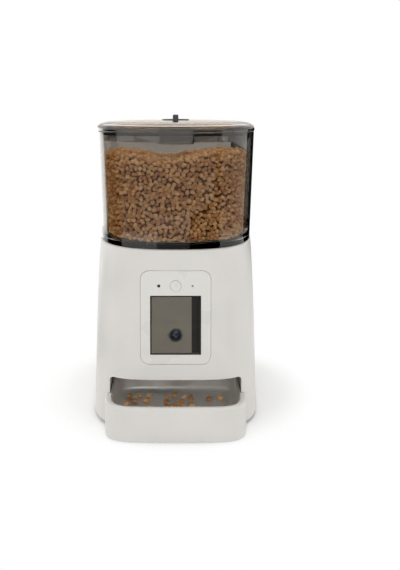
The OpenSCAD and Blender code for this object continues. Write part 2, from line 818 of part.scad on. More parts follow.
module gear_motor() color("silver") difference() {
    can_z = motor_top - gearbox_h - can_h;
    union() {
        translate([0, 0, motor_top - gearbox_h]) cylinder(h = gearbox_h, r = gearbox_d / 2);
        translate([0, 0, can_z]) cylinder(h = can_h, r = can_d / 2);
        translate([0, 0, can_z - can_boss_h]) cylinder(h = can_boss_h, r = can_boss_r);
        at_polar(ear_out, ear_angles) translate([0, 0, motor_top - ear_t]) {
            cylinder(h = ear_t, r = ear_r);
            translate([gearbox_d / 4 - ear_out, -ear_r, 0]) cube([ear_out - gearbox_d / 4, 2 * ear_r, ear_t]);
        }
    }
    translate([0, 0, shaft_bottom - slide_gap])
        cylinder(h = shaft_in_motor + slide_gap + over, r = shaft_d / 2 + run_gap);
    at_polar(ear_out, ear_angles)
        translate([0, 0, motor_top - ear_t - over]) cylinder(h = ear_t + 2 * over, r = screw_d / 2 + seat_gap);
}

module motor_screws() color("silver") at_polar(ear_out, ear_angles)
    translate([0, 0, motor_top - ear_t]) screw_up(ear_t + motor_screw_in);

// One vane, swept back along an arc from the hub to the cup wall
module swept_vane() {
    sweep_r = vane_r * 1.1;
    intersection() {
        translate([vane_r / 2, -sweep_r * 0.9]) difference() {
            circle(sweep_r + vane_t / 2);
            circle(sweep_r - vane_t / 2);
        }
        difference() {
            circle(vane_r);
            circle(hub_r - 1);
        }
        translate([0, -vane_r]) square([vane_r, 2 * vane_r]);
    }
}

module feed_rotor() color("darkorange") difference() {
    union() {
        rotate_extrude() polygon([[0, rotor_z], [hub_r, rotor_z], [hub_r, rotor_top],
            [(hub_r + nose_r) / 2, floor_z + floor_t + nose_h / 2], [nose_r, floor_z + floor_t + 0.9 * nose_h],
            [0, floor_z + floor_t + nose_h]]);
        for (k = [0:rotor_vanes - 1])
            rotate([0, 0, 360 * k / rotor_vanes]) translate([0, 0, rotor_z])
                linear_extrude(rotor_h) swept_vane();
    }
    translate([0, 0, rotor_z - over])
        cylinder(h = shaft_top - rotor_z + slide_gap + over, r = shaft_d / 2 + run_gap);
}

module drive_shaft() color("silver") translate([0, 0, shaft_bottom])
    cylinder(h = shaft_top - shaft_bottom, r = shaft_d / 2);

// Power and sound

module main_board() color("darkgreen") translate([0, box_y + box_l / 2, main_board_z]) {
    difference() {
        linear_extrude(board_t) rounded_rect(main_board_w, main_board_l, 2);
        at_corners(main_board_w / 2 - peg_in, main_board_l / 2 - peg_in)
            translate([0, 0, -over]) cylinder(h = board_t + 2 * over, r = peg_r + seat_gap);
    }
    for (b = board_boxes)
        translate([b[0] - b[2] / 2, b[1] - b[3] / 2, board_t]) cube([b[2], b[3], b[4]]);
    translate([capacitor[0], capacitor[1], board_t]) cylinder(h = capacitor[3], r = capacitor[2]);
}

module battery_box() color("dimgray") {
    inner_w = box_w - 2 * box_t;
    difference() {
        translate([-box_w / 2, box_y, base_top]) cube([box_w, box_l, box_h]);
        translate([-inner_w / 2, box_y + box_t, base_top - over])
            cube([inner_w, box_in_l, box_h - box_t + over]);
    }
    translate([0, box_y + box_l / 2, base_top + box_h])
        at_corners(main_board_w / 2 - peg_in, main_board_l / 2 - peg_in) {
            cylinder(h = post_h, r = 2 * peg_r);
            cylinder(h = post_h + peg_h, r = peg_r);
        }
}

module backup_cells() color("black") for (k = [0:cell_count - 1]) {
    pitch = cell_d + cell_room;
    x = (k - (cell_count - 1) / 2) * pitch;
    translate([x, box_y + box_t + contact_room, base_top + cell_room + cell_d / 2]) rotate([-90, 0, 0]) {
        cylinder(h = cell_l - nub_h, r = cell_d / 2);
        cylinder(h = cell_l, r = nub_r);
    }
}

module battery_contacts() color("silver") for (k = [0:cell_count - 1]) {
    pitch = cell_d + cell_room;
    x = (k - (cell_count - 1) / 2) * pitch;
    front = box_y + box_t;
    plus_end = front + contact_room + cell_l + seat_gap;
    translate([x - contact_w / 2, front, base_top + contact_z]) cube([contact_w, contact_t, contact_h]);
    translate([x, front, base_top + cell_room + cell_d / 2]) rotate([-90, 0, 0])
        cylinder(h = contact_room - seat_gap, r1 = nub_r + 2, r2 = nub_r - 1);
    translate([x - contact_w / 2, plus_end, base_top + contact_z])
        cube([contact_w, front + box_in_l - plus_end, contact_h]);
}

// Stepped opening in the base plate for the battery door
module door_opening() {
    inner_w = box_w - 2 * box_t;
    translate([-inner_w / 2, box_y + box_t, foot_h - over]) cube([inner_w, box_in_l, base_t + 2 * over]);
    translate([-inner_w / 2 - door_lap, box_y + box_t - door_lap, foot_h - over])
        cube([inner_w + 2 * door_lap, box_in_l + 2 * door_lap, door_step_t + over]);
    at_door_screw() translate([0, 0, -over]) {
        cylinder(h = door_step_t + over, r = door_tab_r);
        translate([-door_tab_r, -door_tab_r, 0]) cube([2 * door_tab_r, door_tab_r, door_step_t + over]);
    }
}

module battery_door() color("gray") difference() {
    inner_w = box_w - 2 * box_t;
    gap = slide_gap;
    lap_t = door_step_t - seat_gap;
    union() {
        translate([-inner_w / 2 + gap, box_y + box_t + gap, foot_h])
            cube([inner_w - 2 * gap, box_in_l - 2 * gap, base_t]);
        translate([-inner_w / 2 - door_lap + gap, box_y + box_t - door_lap + gap, foot_h])
            cube([inner_w + 2 * (door_lap - gap), box_in_l + 2 * (door_lap - gap), lap_t]);
        at_door_screw() {
            cylinder(h = lap_t, r = door_tab_r - gap);
            translate([gap - door_tab_r, -door_tab_r - over, 0])
                cube([2 * (door_tab_r - gap), door_tab_r + over, lap_t]);
        }
    }
    at_door_screw() translate([0, 0, -over]) cylinder(h = lap_t + 2 * over, r = screw_d / 2 + seat_gap);
}

module at_door_screw() {
    translate([0, box_y + box_t + box_in_l + door_lap + 0.7 * door_tab_r, foot_h]) children();
}

module door_screw() color("silver") at_door_screw() screw_up(base_t + door_boss_h - 2 * over);

module speaker() color("black") translate([speaker_x, speaker_y, base_top]) difference() {
    union() {
        cylinder(h = speaker_h, r = speaker_d / 2);
        translate([0, 0, speaker_h]) cylinder(h = magnet_h, r = magnet_r);
    }
    translate([0, 0, -over]) cylinder(h = cone_h + over, r = speaker_d / 2 - cone_h);
}

module at_inlet() translate([0, house_d(inlet_z, 0) / 2, inlet_z]) rotate([lean - 90, 0, 0]) children();

module power_inlet() color("black") at_inlet() {
    thread_r = inlet_d / 2;
    bore_r = inlet_bore / 2;
    flange = seat_gap + inlet_flange_t;
    rotate_extrude() polygon([[bore_r, flange], [thread_r + inlet_flange_w, flange],
        [thread_r + inlet_flange_w, seat_gap], [thread_r, seat_gap], [thread_r, -inlet_back], [0, -inlet_back],
        [0, -inlet_depth], [bore_r, -inlet_depth]]);
    translate([0, 0, -inlet_depth - over / 2]) cylinder(h = inlet_depth - over, r = inlet_pin_r);
}

module inlet_nut() color("silver") at_inlet() translate([0, 0, -wall - slide_gap - nut_t]) difference() {
    cylinder(h = nut_t, r = inlet_d / 2 + nut_w, $fn = 6);
    translate([0, 0, -over]) cylinder(h = nut_t + 2 * over, r = inlet_d / 2 + run_gap);
}

// Hopper

module hopper() color([0.35, 0.33, 0.31, 0.6]) {
    low = seam_z + slide_gap;
    inner = hopper_step + hopper_wall;
    mouth_in = funnel_inset + funnel_lip;
    shell_loft([
        round_ring(outlet_r, spigot_z),
        round_ring(outlet_r, funnel_z),
        ring(waist_w - 2 * funnel_inset, waist_d - 2 * funnel_inset, waist_square, low),
        ring(waist_w - 2 * hopper_step, waist_d - 2 * hopper_step, waist_square, low),
        ring(rim_w, rim_d, rim_square, rim_z),
        ring(rim_w - 2 * hopper_wall, rim_d - 2 * hopper_wall, rim_square, rim_z),
        ring(waist_w - 2 * inner, waist_d - 2 * inner, waist_square, low + hopper_wall + shelf_slope),
        ring(waist_w - 2 * mouth_in, waist_d - 2 * mouth_in, waist_square, low + hopper_wall),
        round_ring(outlet_r - hopper_wall, funnel_z + funnel_lip),
        round_ring(outlet_r - hopper_wall, spigot_z)]);
}

// Outlet floor: closed over the chute, open at the back
module hopper_floor() color([0.35, 0.33, 0.31, 0.6]) translate([0, 0, floor_z]) linear_extrude(floor_t) {
    r = outlet_r - hopper_wall - seat_gap;
    difference() {
        circle(r);
        circle(hub_r + nose_room);
        intersection() {
            circle(r - floor_rim);
            translate([-r, floor_front]) square([2 * r, r]);
        }
    }
}

// Lid

function crown_ring(drop) = let (c = crown_mid)
    ring(c[0] * lid_w, c[0] * lid_d, mix(2, rim_square, c[2]), mix(crown_edge_z, crown_z, c[1]) - drop);

// Height of the rounded edge at a distance in from the lid's side
function edge_z(inset) = lid_edge_z + lid_round_h * sqrt(1 - pow(1 - inset / lid_round_w, 2));

// Ring on the rounded edge, turned from its upright side towards the crown
function edge_ring(turn, drop) =
    lid_ring(lid_edge_z + lid_round_h * sin(turn) - drop, lid_round_w * (1 - cos(turn)));

module lid() color([0.35, 0.33, 0.31, 0.6]) {
    skirt_in = skirt_inset + skirt_t;
    inner_turns = [for (k = [len(edge_turns) - 1:-1:0])
        if (lid_round_w * (1 - cos(edge_turns[k])) > skirt_in + lid_soft) edge_turns[k]];
    shell_loft(concat(
        [lid_ring(lid_z, 0), lid_ring(lid_edge_z, 0)],
        [for (turn = edge_turns) edge_ring(turn, 0)],
        [crown_ring(0), round_ring(tube_r - lid_soft, crown_z),
            round_ring(tube_r - lid_soft, crown_z - lid_wall), crown_ring(lid_wall)],
        [for (turn = inner_turns) edge_ring(turn, lid_wall)],
        [for (inset = [skirt_in]) lid_ring(edge_z(inset) - lid_wall, inset)],
        [lid_ring(rim_z - skirt_h, skirt_in), lid_ring(rim_z - skirt_h, skirt_inset)],
        [for (inset = [skirt_inset, lid_wall]) lid_ring(edge_z(inset) - lid_wall, inset)],
        [lid_ring(lid_z, lid_wall)]));
    rotate_extrude() polygon([[spindle_r + run_gap, well_z - well_floor_t],
        [well_r + well_wall, well_z - well_floor_t], [well_r + well_wall, crown_z - lid_wall],
        [tube_in_r, crown_z - lid_wall], [tube_in_r, tube_z], [tube_r, tube_z], [tube_r, crown_z - lid_soft],
        [well_r, crown_z], [well_r, well_z], [spindle_r + run_gap, well_z]]);
}

module lid_seal() color("black") {
    outer = lid_lap + hopper_wall + slide_gap + seal_room;
    top = rim_z - slide_gap;
    inset_low = outer + (rim_w - waist_w + 2 * hopper_step) / 2 * seal_h / hopper_h;
    shell_loft([
        lid_ring(top - seal_h, inset_low + seal_lip),
        lid_ring(top - seal_h / 2, inset_low),
        lid_ring(top, inset_low + seal_lip),
        lid_ring(top, skirt_inset - seat_gap),
        lid_ring(top - seal_h, skirt_inset - seat_gap)]);
}

module lock_knob() color([0.12, 0.12, 0.12]) {
    r = knob_d / 2;
    low = well_z + slide_gap;
    fin_z = low + dish_floor_t / 2;
    rotate_extrude() polygon([[0, knob_foot_z], [spindle_r, knob_foot_z], [spindle_r, low], [dish_hub_r, low],
        [r, dish_rim_z - dish_rim_h], [r, dish_rim_z], [r - dish_rim_w, dish_rim_z],
        [dish_hub_r, low + dish_floor_t], [0, low + dish_floor_t]]);
    intersection() {
        translate([0, 0, fin_z]) linear_extrude(fin_top - fin_z) {
            square([fin_t, fin_l - fin_t], center = true);
            for (side = [-1, 1]) translate([0, side * (fin_l - fin_t) / 2]) circle(fin_t / 2);
        }
        rotate_extrude() polygon([[0, fin_z], [dish_hub_r, fin_z], [r - fin_in, dish_rim_z - dish_rim_h / 2],
            [r - fin_in, fin_top - fin_slope_h], [r - fin_in - fin_slope_w, fin_top], [0, fin_top]]);
    }
}

module bayonet_collar() color([0.15, 0.15, 0.15]) translate([0, 0, collar_z]) linear_extrude(collar_t)
    difference() {
        circle(collar_d / 2);
        circle(spindle_r + run_gap);
        for (side = [-1, 1]) translate([side * collar_d / 2, 0]) circle(notch_r);
    }

module desiccant_basket() color([0.25, 0.25, 0.25]) difference() {
    rotate_extrude() polygon([[spindle_r + run_gap, basket_z + basket_dome], [sleeve_r, basket_z + basket_dome],
        [basket_r - basket_soft, basket_z], [basket_r, basket_z + basket_soft / 2], [basket_r, basket_top],
        [basket_r - basket_t, basket_top], [basket_r - basket_t, basket_z + basket_t],
        [sleeve_r, basket_z + basket_dome + basket_t], [sleeve_r, basket_top],
        [spindle_r + run_gap, basket_top]]);
    for (k = [0:basket_slots - 1])
        rotate([0, 0, 360 * (k + 0.5) / basket_slots])
            translate([basket_r - basket_t - over, -basket_slot_w / 2, basket_z + basket_t + over])
                cube([basket_t + 2 * over, basket_slot_w, basket_h - basket_t - 2 * over]);
}

module desiccant_pack() color("ivory") rotate_extrude() {
    inner = sleeve_r + pack_gap;
    outer = basket_r - basket_t - pack_gap;
    low = basket_z + basket_t + pack_gap;
    top = basket_top - pack_drop;
    polygon([[inner, low + basket_dome], [outer, low], [outer, top - pack_soft], [outer - pack_soft, top],
        [inner + pack_soft, top], [inner, top - pack_soft]]);
}

// Tray

// Upright prism with the tray's rounded-square outline
module tray_prism(w, front, back, square, low, high) {
    translate([0, (front + back) / 2, low]) linear_extrude(high - low)
        polygon(flat_ring(w, back - front, square));
}

// Tray front with a rounded upper and lower edge
module tray_block() {
    depth = tray_back - tray_front;
    // Drawn in from the outline at a height, up the outside
    section = [[tray_soft / 2, tray_lift], [0, tray_lift + tray_soft / 2], [0, tray_rim - tray_soft],
        [tray_soft * (1 - cos(45)), tray_rim - tray_soft * (1 - sin(45))], [tray_soft, tray_rim]];
    translate([0, (tray_front + tray_back) / 2, 0])
        capped_loft([for (p = section) ring(tray_w - 2 * p[0], depth - 2 * p[0], tray_square, p[1])]);
}

module food_tray() color("white") difference() {
    union() {
        difference() {
            tray_block();
            house_core(-slide_gap, tray_lift - over, tray_rim + over);
        }
        tray_prism(drawer_w, cavity_front - tray_wall / 2, tray_back, cavity_square, drawer_z, tray_rim);
    }
    tray_prism(cavity_w, cavity_front, cavity_back, cavity_square, cavity_z, tray_rim + over);
}

module steel_bowl() color("silver") {
    w = cavity_w - 2 * slide_gap;
    d = cavity_back - cavity_front - 2 * slide_gap;
    low = cavity_z + seat_gap;
    high = tray_rim - bowl_drop;
    // Drawn in from the rim and risen from the floor, along the bowl's section
    section = concat([for (turn = [0:30:90])
        [mix(bowl_round_w, bowl_draft, sin(turn)), bowl_round_h * (1 - cos(turn))]], [[0, high - low]]);
    translate([0, (cavity_front + cavity_back) / 2, 0]) capped_loft(concat(
        [for (p = section) ring(w - 2 * p[0], d - 2 * p[0], cavity_square, low + p[1])],
        [for (i = [len(section) - 1:-1:0]) let (p = section[i], lift = i == len(section) - 1 ? 0 : bowl_t)
            ring(w - 2 * (p[0] + bowl_t), d - 2 * (p[0] + bowl_t), cavity_square, low + p[1] + lift)]));
}

// The housing's axis lies behind the middle of the whole part, because the tray stands out in front
module at_axis() translate([0, axis_y, 0]) children();

at_axis() body_shell();
at_axis() base_plate();
at_axis() rubber_feet();
at_axis() base_screws();
at_axis() front_panel();
at_axis() panel_window();
at_axis() lens_barrel();
at_axis() lens_glass();
at_axis() light_sensor();
at_axis() status_light();
at_axis() control_board();
at_axis() board_screws();
at_axis() push_switch();
at_axis() switch_plunger();
at_axis() feed_button();
at_axis() bay_liner();
at_axis() discharge_chute();
at_axis() hopper_seat();
at_axis() rotor_cup();
at_axis() cup_screws();
at_axis() shaft_bush();
at_axis() gear_motor();
at_axis() motor_screws();
at_axis() feed_rotor();
at_axis() drive_shaft();
at_axis() main_board();
at_axis() battery_box();
at_axis() backup_cells();
at_axis() battery_contacts();
at_axis() battery_door();
at_axis() door_screw();
at_axis() speaker();
at_axis() power_inlet();
at_axis() inlet_nut();
at_axis() hopper();
at_axis() hopper_floor();
at_axis() lid();
at_axis() lid_seal();
at_axis() lock_knob();
at_axis() bayonet_collar();
at_axis() desiccant_basket();
at_axis() desiccant_pack();
at_axis() food_tray();
at_axis() steel_bowl();
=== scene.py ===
"""Dressed model of an automatic pet feeder with a camera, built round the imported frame."""
import json
import logging
import math
import random
from collections.abc import Callable, Iterable, Sequence
from dataclasses import dataclass
from enum import Enum
from typing import Any

import bmesh
import bpy
from mathutils import Euler, Matrix, Vector


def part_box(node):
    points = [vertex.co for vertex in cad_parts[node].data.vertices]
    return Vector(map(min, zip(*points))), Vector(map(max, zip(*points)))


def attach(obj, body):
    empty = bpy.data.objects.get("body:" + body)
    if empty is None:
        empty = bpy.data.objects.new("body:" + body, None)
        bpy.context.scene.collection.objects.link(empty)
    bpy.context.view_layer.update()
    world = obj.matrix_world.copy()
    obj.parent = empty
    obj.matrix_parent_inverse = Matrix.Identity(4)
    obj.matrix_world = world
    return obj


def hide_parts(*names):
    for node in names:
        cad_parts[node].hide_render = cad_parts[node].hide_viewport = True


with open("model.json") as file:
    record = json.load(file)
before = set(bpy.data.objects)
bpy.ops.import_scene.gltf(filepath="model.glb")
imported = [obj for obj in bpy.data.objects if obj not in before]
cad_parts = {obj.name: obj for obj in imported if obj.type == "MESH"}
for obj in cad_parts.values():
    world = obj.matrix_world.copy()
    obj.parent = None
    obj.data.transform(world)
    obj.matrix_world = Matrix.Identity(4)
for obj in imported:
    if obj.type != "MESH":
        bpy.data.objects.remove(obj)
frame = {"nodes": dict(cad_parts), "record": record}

LOG = logging.getLogger("feeder")
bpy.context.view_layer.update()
MM = 0.001
QUARTER = math.pi / 2
Pair = tuple[float, float]
Point = tuple[float, float, float]
Ring = list[Point]
Edge = Callable[[float], list[Pair]]
# Points on each ring of the housing, hopper, lid and tray
ROUND = 224
# Sizes below are millimetres about the housing's axis: front is -Y and up is +Z
AXIS_Y = sum(corner[1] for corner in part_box("hopper")) / 2


def mix(start: float, end: float, share: float) -> float:
    """Value that lies a share of the way from start to end."""
    return start + (end - start) * share


def span(start: float, end: float, count: int) -> list[float]:
    """Values that divide the way from start to end evenly, both included."""
    return [mix(start, end, k / count) for k in range(count + 1)]


def angles(whole: float, count: int) -> list[float]:
    """Angles that divide a whole turn or a part of one evenly, both ends included."""
    return [whole * k / count for k in range(count + 1)]


def outline(width: float, depth: float, square: float, z: float, centre_y: float = 0.0) -> Ring:
    """Ring of points on a rounded-square outline.

    Args:
        width: Full width along X.
        depth: Full depth along Y.
        square: Exponent of the outline, 2 for an ellipse.
        z: Height of the ring.
        centre_y: Y of the ring's middle.

    Returns:
        Points in order round the outline.
    """
    points = []
    for angle in angles(2 * math.pi, ROUND)[:-1]:
        c, s = math.cos(angle), math.sin(angle)
        r = (abs(c / (width / 2)) ** square + abs(s / (depth / 2)) ** square) ** (-1 / square)
        points.append((r * c, r * s + centre_y, z))
    return points


def circle(radius: float, z: float) -> Ring:
    """Round ring about the axis."""
    return outline(2 * radius, 2 * radius, 2, z)


def quarter(radius: float, steps: int = 6) -> list[Pair]:
    """Quarter round as (drawn in, still to rise) pairs from the side face to the end face."""
    return [(radius * (1 - math.cos(t)), radius * (1 - math.sin(t))) for t in angles(QUARTER, steps)]


def rod(radius: float, low: float, high: float) -> list[Pair]:
    """Profile of a plain round bar that is turned about its own axis."""
    return [(0, low), (radius, low), (radius, high), (0, high)]


def rounded(width: float, height: float, radius: float, steps: int = 10, along: int = 14) -> list[Pair]:
    """Corner-rounded rectangle about the origin, with points along its sides too.

    Args:
        width: Full width.
        height: Full height.
        radius: Radius of the corners.
        steps: Steps round each corner.
        along: Steps along each side.

    Returns:
        Points in order round the outline.
    """
    signs = ((1, 1), (-1, 1), (-1, -1), (1, -1))
    centres = [(sx * (width / 2 - radius), sy * (height / 2 - radius)) for sx, sy in signs]
    points: list[Pair] = []
    for k, (cx, cy) in enumerate(centres):
        turns = [QUARTER * (k + i / steps) for i in range(steps + 1)]
        points += [(cx + radius * math.cos(t), cy + radius * math.sin(t)) for t in turns]
        nx, ny = centres[(k + 1) % len(centres)]
        x0, y0 = points[-1]
        x1, y1 = nx + radius * math.cos(turns[-1]), ny + radius * math.sin(turns[-1])
        points += list(zip(span(x0, x1, along), span(y0, y1, along)))[1:-1]
    return points


def face_outwards(mesh: bpy.types.Mesh, merge: float = 0.0) -> None:
    """Turn a mesh's faces outwards.

    Args:
        mesh: Mesh that is changed.
        merge: Distance in metres within which points are merged first, or nought.
    """
    shape = bmesh.new()
    shape.from_mesh(mesh)
    if merge:
        bmesh.ops.remove_doubles(shape, verts=shape.verts, dist=merge)
    bmesh.ops.recalc_face_normals(shape, faces=shape.faces)
    shape.to_mesh(mesh)
    shape.free()


def new_piece(name: str, points: Iterable[Sequence[float]], faces: Iterable[Sequence[int]],
              place: Matrix | None = None) -> bpy.types.Object:
    """Mesh object with its place in its mesh.

    Args:
        name: Name of the object.
        points: Points in millimetres.
        faces: Corners of each face.
        place: Where the points lie about the housing's axis.

    Returns:
        The new object, with its faces pointing outwards.
    """
    turn = place or Matrix.Identity(4)
    mesh = bpy.data.meshes.new(name)
    moved = [turn @ Vector(p) for p in points]
    mesh.from_pydata([(p.x * MM, p.y * MM + AXIS_Y, p.z * MM) for p in moved], [], list(faces))
    face_outwards(mesh)
    piece = bpy.data.objects.new(name, mesh)
    bpy.context.scene.collection.objects.link(piece)
    return piece


def loft(name: str, rings: Sequence[Ring], closed: bool = False, place: Matrix | None = None,
         ends: tuple[Point, Point] | None = None) -> bpy.types.Object:
    """Skin over rings of the same number of points.

    Args:
        name: Name of the object.
        rings: Rings in order along the section.
        closed: Whether the last ring meets the first one, as in a shell.
        place: Where the rings lie about the housing's axis.
        ends: Points that the end caps fan out from; flat caps where there are none.

    Returns:
        The lofted object.
    """
    count, size = len(rings), len(rings[0])
    points = [p for ring in rings for p in ring]
    faces: list[tuple[int, ...]] = []
    for i in range(count if closed else count - 1):
        low, high = i * size, (i + 1) % count * size
        faces += [(low + k, low + (k + 1) % size, high + (k + 1) % size, high + k) for k in range(size)]
    last = (count - 1) * size
    if ends:
        points += list(ends)
        faces += [(count * size, (k + 1) % size, k) for k in range(size)]
        faces += [(count * size + 1, last + k, last + (k + 1) % size) for k in range(size)]
    elif not closed:
        faces += [tuple(range(size)), tuple(range(last, last + size))]
    return new_piece(name, points, faces, place)


def revolve(name: str, profile: Sequence[Pair], place: Matrix | None = None,
            steps: int = 96) -> bpy.types.Object:
    """Turned solid whose profile starts and ends on its own axis or closes on itself.

    Args:
        name: Name of the object.
        profile: Radius and height of each corner.
        place: Where the turning axis lies.
        steps: Faces round the solid.

    Returns:
        The turned object.
    """
    least = 1e-4
    turns = angles(2 * math.pi, steps)[:-1]
    wide = [(max(r, least), z) for r, z in profile]
    rings = [[(r * math.cos(t), r * math.sin(t), z) for t in turns] for r, z in wide]
    solid = profile[0][0] == 0 and profile[-1][0] == 0
    piece = loft(name, rings, closed=not solid, place=place)
    if solid:
        face_outwards(piece.data, merge=1e-6)
    return piece


def settle(piece: bpy.types.Object) -> None:
    """Make a piece's modified shape its own plain mesh.

    Args:
        piece: Object that is changed.
    """
    shape = bpy.data.meshes.new_from_object(piece.evaluated_get(bpy.context.evaluated_depsgraph_get()))
    piece.modifiers.clear()
    old, piece.data = piece.data, shape
    bpy.data.meshes.remove(old)


class Carve(Enum):
    """Ways of working one solid with another."""

    CUT = "DIFFERENCE"
    ADD = "UNION"


def carve(piece: bpy.types.Object, tool: bpy.types.Object, way: Carve = Carve.CUT) -> None:
    """Work a piece with a tool solid, which is used up.

    Args:
        piece: Object that is changed.
        tool: Object that cuts it or is added to it.
        way: Whether the tool cuts or is added.
    """
    step = piece.modifiers.new("carve", "BOOLEAN")
    step.operation = way.value
    step.solver = "EXACT"
    step.object = tool
    settle(piece)
    bpy.data.meshes.remove(tool.data)


def join(piece: bpy.types.Object, other: bpy.types.Object) -> None:
    """Put another object's faces into a piece, and use the other up.

    Args:
        piece: Object that is changed.
        other: Object whose faces it takes.
    """
    shape = bmesh.new()
    shape.from_mesh(piece.data)
    shape.from_mesh(other.data)
    shape.to_mesh(piece.data)
    shape.free()
    bpy.data.meshes.remove(other.data)


def soften(piece: bpy.types.Object, degrees: float = 32.0) -> None:
    """Shade a piece smooth, apart from edges sharper than an angle, and keep its broad faces flat.

    Args:
        piece: Piece that is shaded.
        degrees: Least angle of an edge that stays sharp.
    """
    piece.data.shade_smooth()
    piece.data.set_sharp_from_angle(angle=math.radians(degrees))
    broad = piece.modifiers.new("broad_faces", "WEIGHTED_NORMAL")
    broad.keep_sharp = True
    settle(piece)


def add_node(tree: bpy.types.NodeTree, kind: str, settings: dict[str, Any] | None = None,
             inputs: dict[str | int, Any] | None = None) -> bpy.types.Node:
    """Add a node with its settings, values and links.

    Args:
        tree: Tree that gets the node.
        kind: Type name of the node.
        settings: Properties of the node.
        inputs: Value, or socket to link from, for each input.

    Returns:
        The new node.
    """
    node = tree.nodes.new(kind)
    for key, value in (settings or {}).items():
        setattr(node, key, value)
    for key, value in (inputs or {}).items():
        if isinstance(value, bpy.types.NodeSocket):
            tree.links.new(value, node.inputs[key])
        else:
            node.inputs[key].default_value = value
    return node


def linear(colour: str) -> tuple[float, float, float, float]:
    """Linear colour of an sRGB hex value.

    Args:
        colour: The hex value, with its hash sign.

    Returns:
        Red, green, blue and a full alpha.
    """
    parts = [int(colour[k:k + 2], 16) / 255 for k in (1, 3, 5)]
    r, g, b = (v / 12.92 if v <= 0.04045 else ((v + 0.055) / 1.055) ** 2.4 for v in parts)
    return (r, g, b, 1.0)


# Slow unevenness over a few centimetres keeps a large face from looking flat
CLOUD_MM = 35.0
# Share by which the gloss wanders; clear pieces keep theirs more even
GLOSS_SPREAD = 0.3
CLEAR_SPREAD = 0.12
# A brushed grain is drawn out along X
BRUSH_STRETCH = (0.04, 1.0, 1.0)
# Share of the crumb's noise in a baked lump's own shade
CRUMB_SHARE = 0.35


class Surface(Enum):
    """How a surface was made, which sets its fine pattern."""

    MOULDED = "moulded"
    POLISHED = "polished"
    BRUSHED = "brushed"
    BAKED = "baked"
    BONDED = "bonded"


@dataclass(frozen=True)
class Finish:
    """One material: its colours, its gloss and the pattern of its surface."""

    name: str
    light: str
    dark: str
    roughness: float
    surface: Surface
    grain_mm: float
    bump: float = 0.0
    metallic: float = 0.0
    ior: float = 1.5
    transmission: float = 0.0
    specular: float = 0.5

    def material(self) -> bpy.types.Material:
        """Material of this finish, made once.

        Returns:
            The shared material.
        """
        made = bpy.data.materials.get(self.name)
        if made:
            return made
        made = bpy.data.materials.new(self.name)
        made.use_nodes = True
        tree = made.node_tree
        tree.nodes.clear()
        shader = add_node(tree, "ShaderNodeBsdfPrincipled", inputs={
            "Metallic": self.metallic, "Transmission Weight": self.transmission,
            "Specular IOR Level": self.specular})
        if not self.metallic:
            shader.inputs["IOR"].default_value = self.ior
        add_node(tree, "ShaderNodeOutputMaterial", inputs={"Surface": shader.outputs["BSDF"]})
        place = add_node(tree, "ShaderNodeTexCoord")
        stretch = BRUSH_STRETCH if self.surface is Surface.BRUSHED else (1.0, 1.0, 1.0)
        turned = add_node(tree, "ShaderNodeMapping", inputs={
            "Vector": place.outputs["Object"], "Scale": stretch})
        fine = add_node(tree, "ShaderNodeTexNoise", inputs={
            "Vector": turned.outputs["Vector"], "Scale": 1 / (self.grain_mm * MM), "Detail": 3.0})
        slow = add_node(tree, "ShaderNodeTexNoise", inputs={
            "Vector": place.outputs["Object"], "Scale": 1 / (CLOUD_MM * MM), "Detail": 2.0})
        self.colour(tree, shader, fine, slow)
        spread = CLEAR_SPREAD if self.transmission else GLOSS_SPREAD
        gloss = add_node(tree, "ShaderNodeMapRange", inputs={
            "Value": slow.outputs[0], "From Min": 0.3, "From Max": 0.7,
            "To Min": self.roughness * (1 - spread), "To Max": self.roughness * (1 + spread)})
        tree.links.new(gloss.outputs["Result"], shader.inputs["Roughness"])
        if self.bump:
            relief = add_node(tree, "ShaderNodeBump", inputs={
                "Strength": self.bump, "Distance": 0.2 * self.grain_mm * MM, "Height": fine.outputs[0]})
            tree.links.new(relief.outputs["Normal"], shader.inputs["Normal"])
        return made

    def colour(self, tree: bpy.types.NodeTree, shader: bpy.types.Node, fine: bpy.types.Node,
               slow: bpy.types.Node) -> None:
        """Give the shader its colour.

        Args:
            tree: Tree of the material.
            shader: Shader that takes the colour.
            fine: Noise at the grain's own size.
            slow: Noise over a few centimetres.
        """
        if self.transmission:
            shader.inputs["Base Color"].default_value = linear(self.light)
            return
        share = slow.outputs[0]
        if self.surface in (Surface.BAKED, Surface.BONDED, Surface.BRUSHED):
            share = fine.outputs[0]
        if self.surface is Surface.BAKED:
            # Each lump keeps its own shade, and crumbs darken it a little
            own = add_node(tree, "ShaderNodeAttribute", {"attribute_name": "shade"})
            share = add_node(tree, "ShaderNodeMix", inputs={
                0: CRUMB_SHARE, 2: own.outputs["Fac"], 3: fine.outputs[0]}).outputs[0]
        spread = add_node(tree, "ShaderNodeMapRange", inputs={
            "Value": share, "From Min": 0.25, "From Max": 0.75})
        tone = add_node(tree, "ShaderNodeMix", {"data_type": "RGBA"}, {
            0: spread.outputs["Result"], 6: linear(self.dark), 7: linear(self.light)})
        tree.links.new(tone.outputs[2], shader.inputs["Base Color"])

    def dress(self, piece: bpy.types.Object) -> None:
        """Give a piece this finish alone."""
        piece.data.materials.clear()
        piece.data.materials.append(self.material())


# Moulded ABS: a warm white with a fine satin grain, so highlights are broad and soft
WHITE_ABS = Finish("moulded_white_abs", "#cbc8c4", "#c5c3be", 0.44, Surface.MOULDED, 0.45, 0.05)
# Smoother ABS of the front panel: a shade cleaner and a little glossier than the housing
PANEL_ABS = Finish("smooth_white_abs", "#cccac5", "#cac8c3", 0.34, Surface.MOULDED, 0.6, 0.02)
# Polished smoke-tinted SAN: clear and dark, with sharp reflections
SMOKED_SAN = Finish("polished_smoked_san", "#b5b1ab", "#b5b1ab", 0.0, Surface.POLISHED, 4.0, ior=1.57,
                    transmission=1.0)
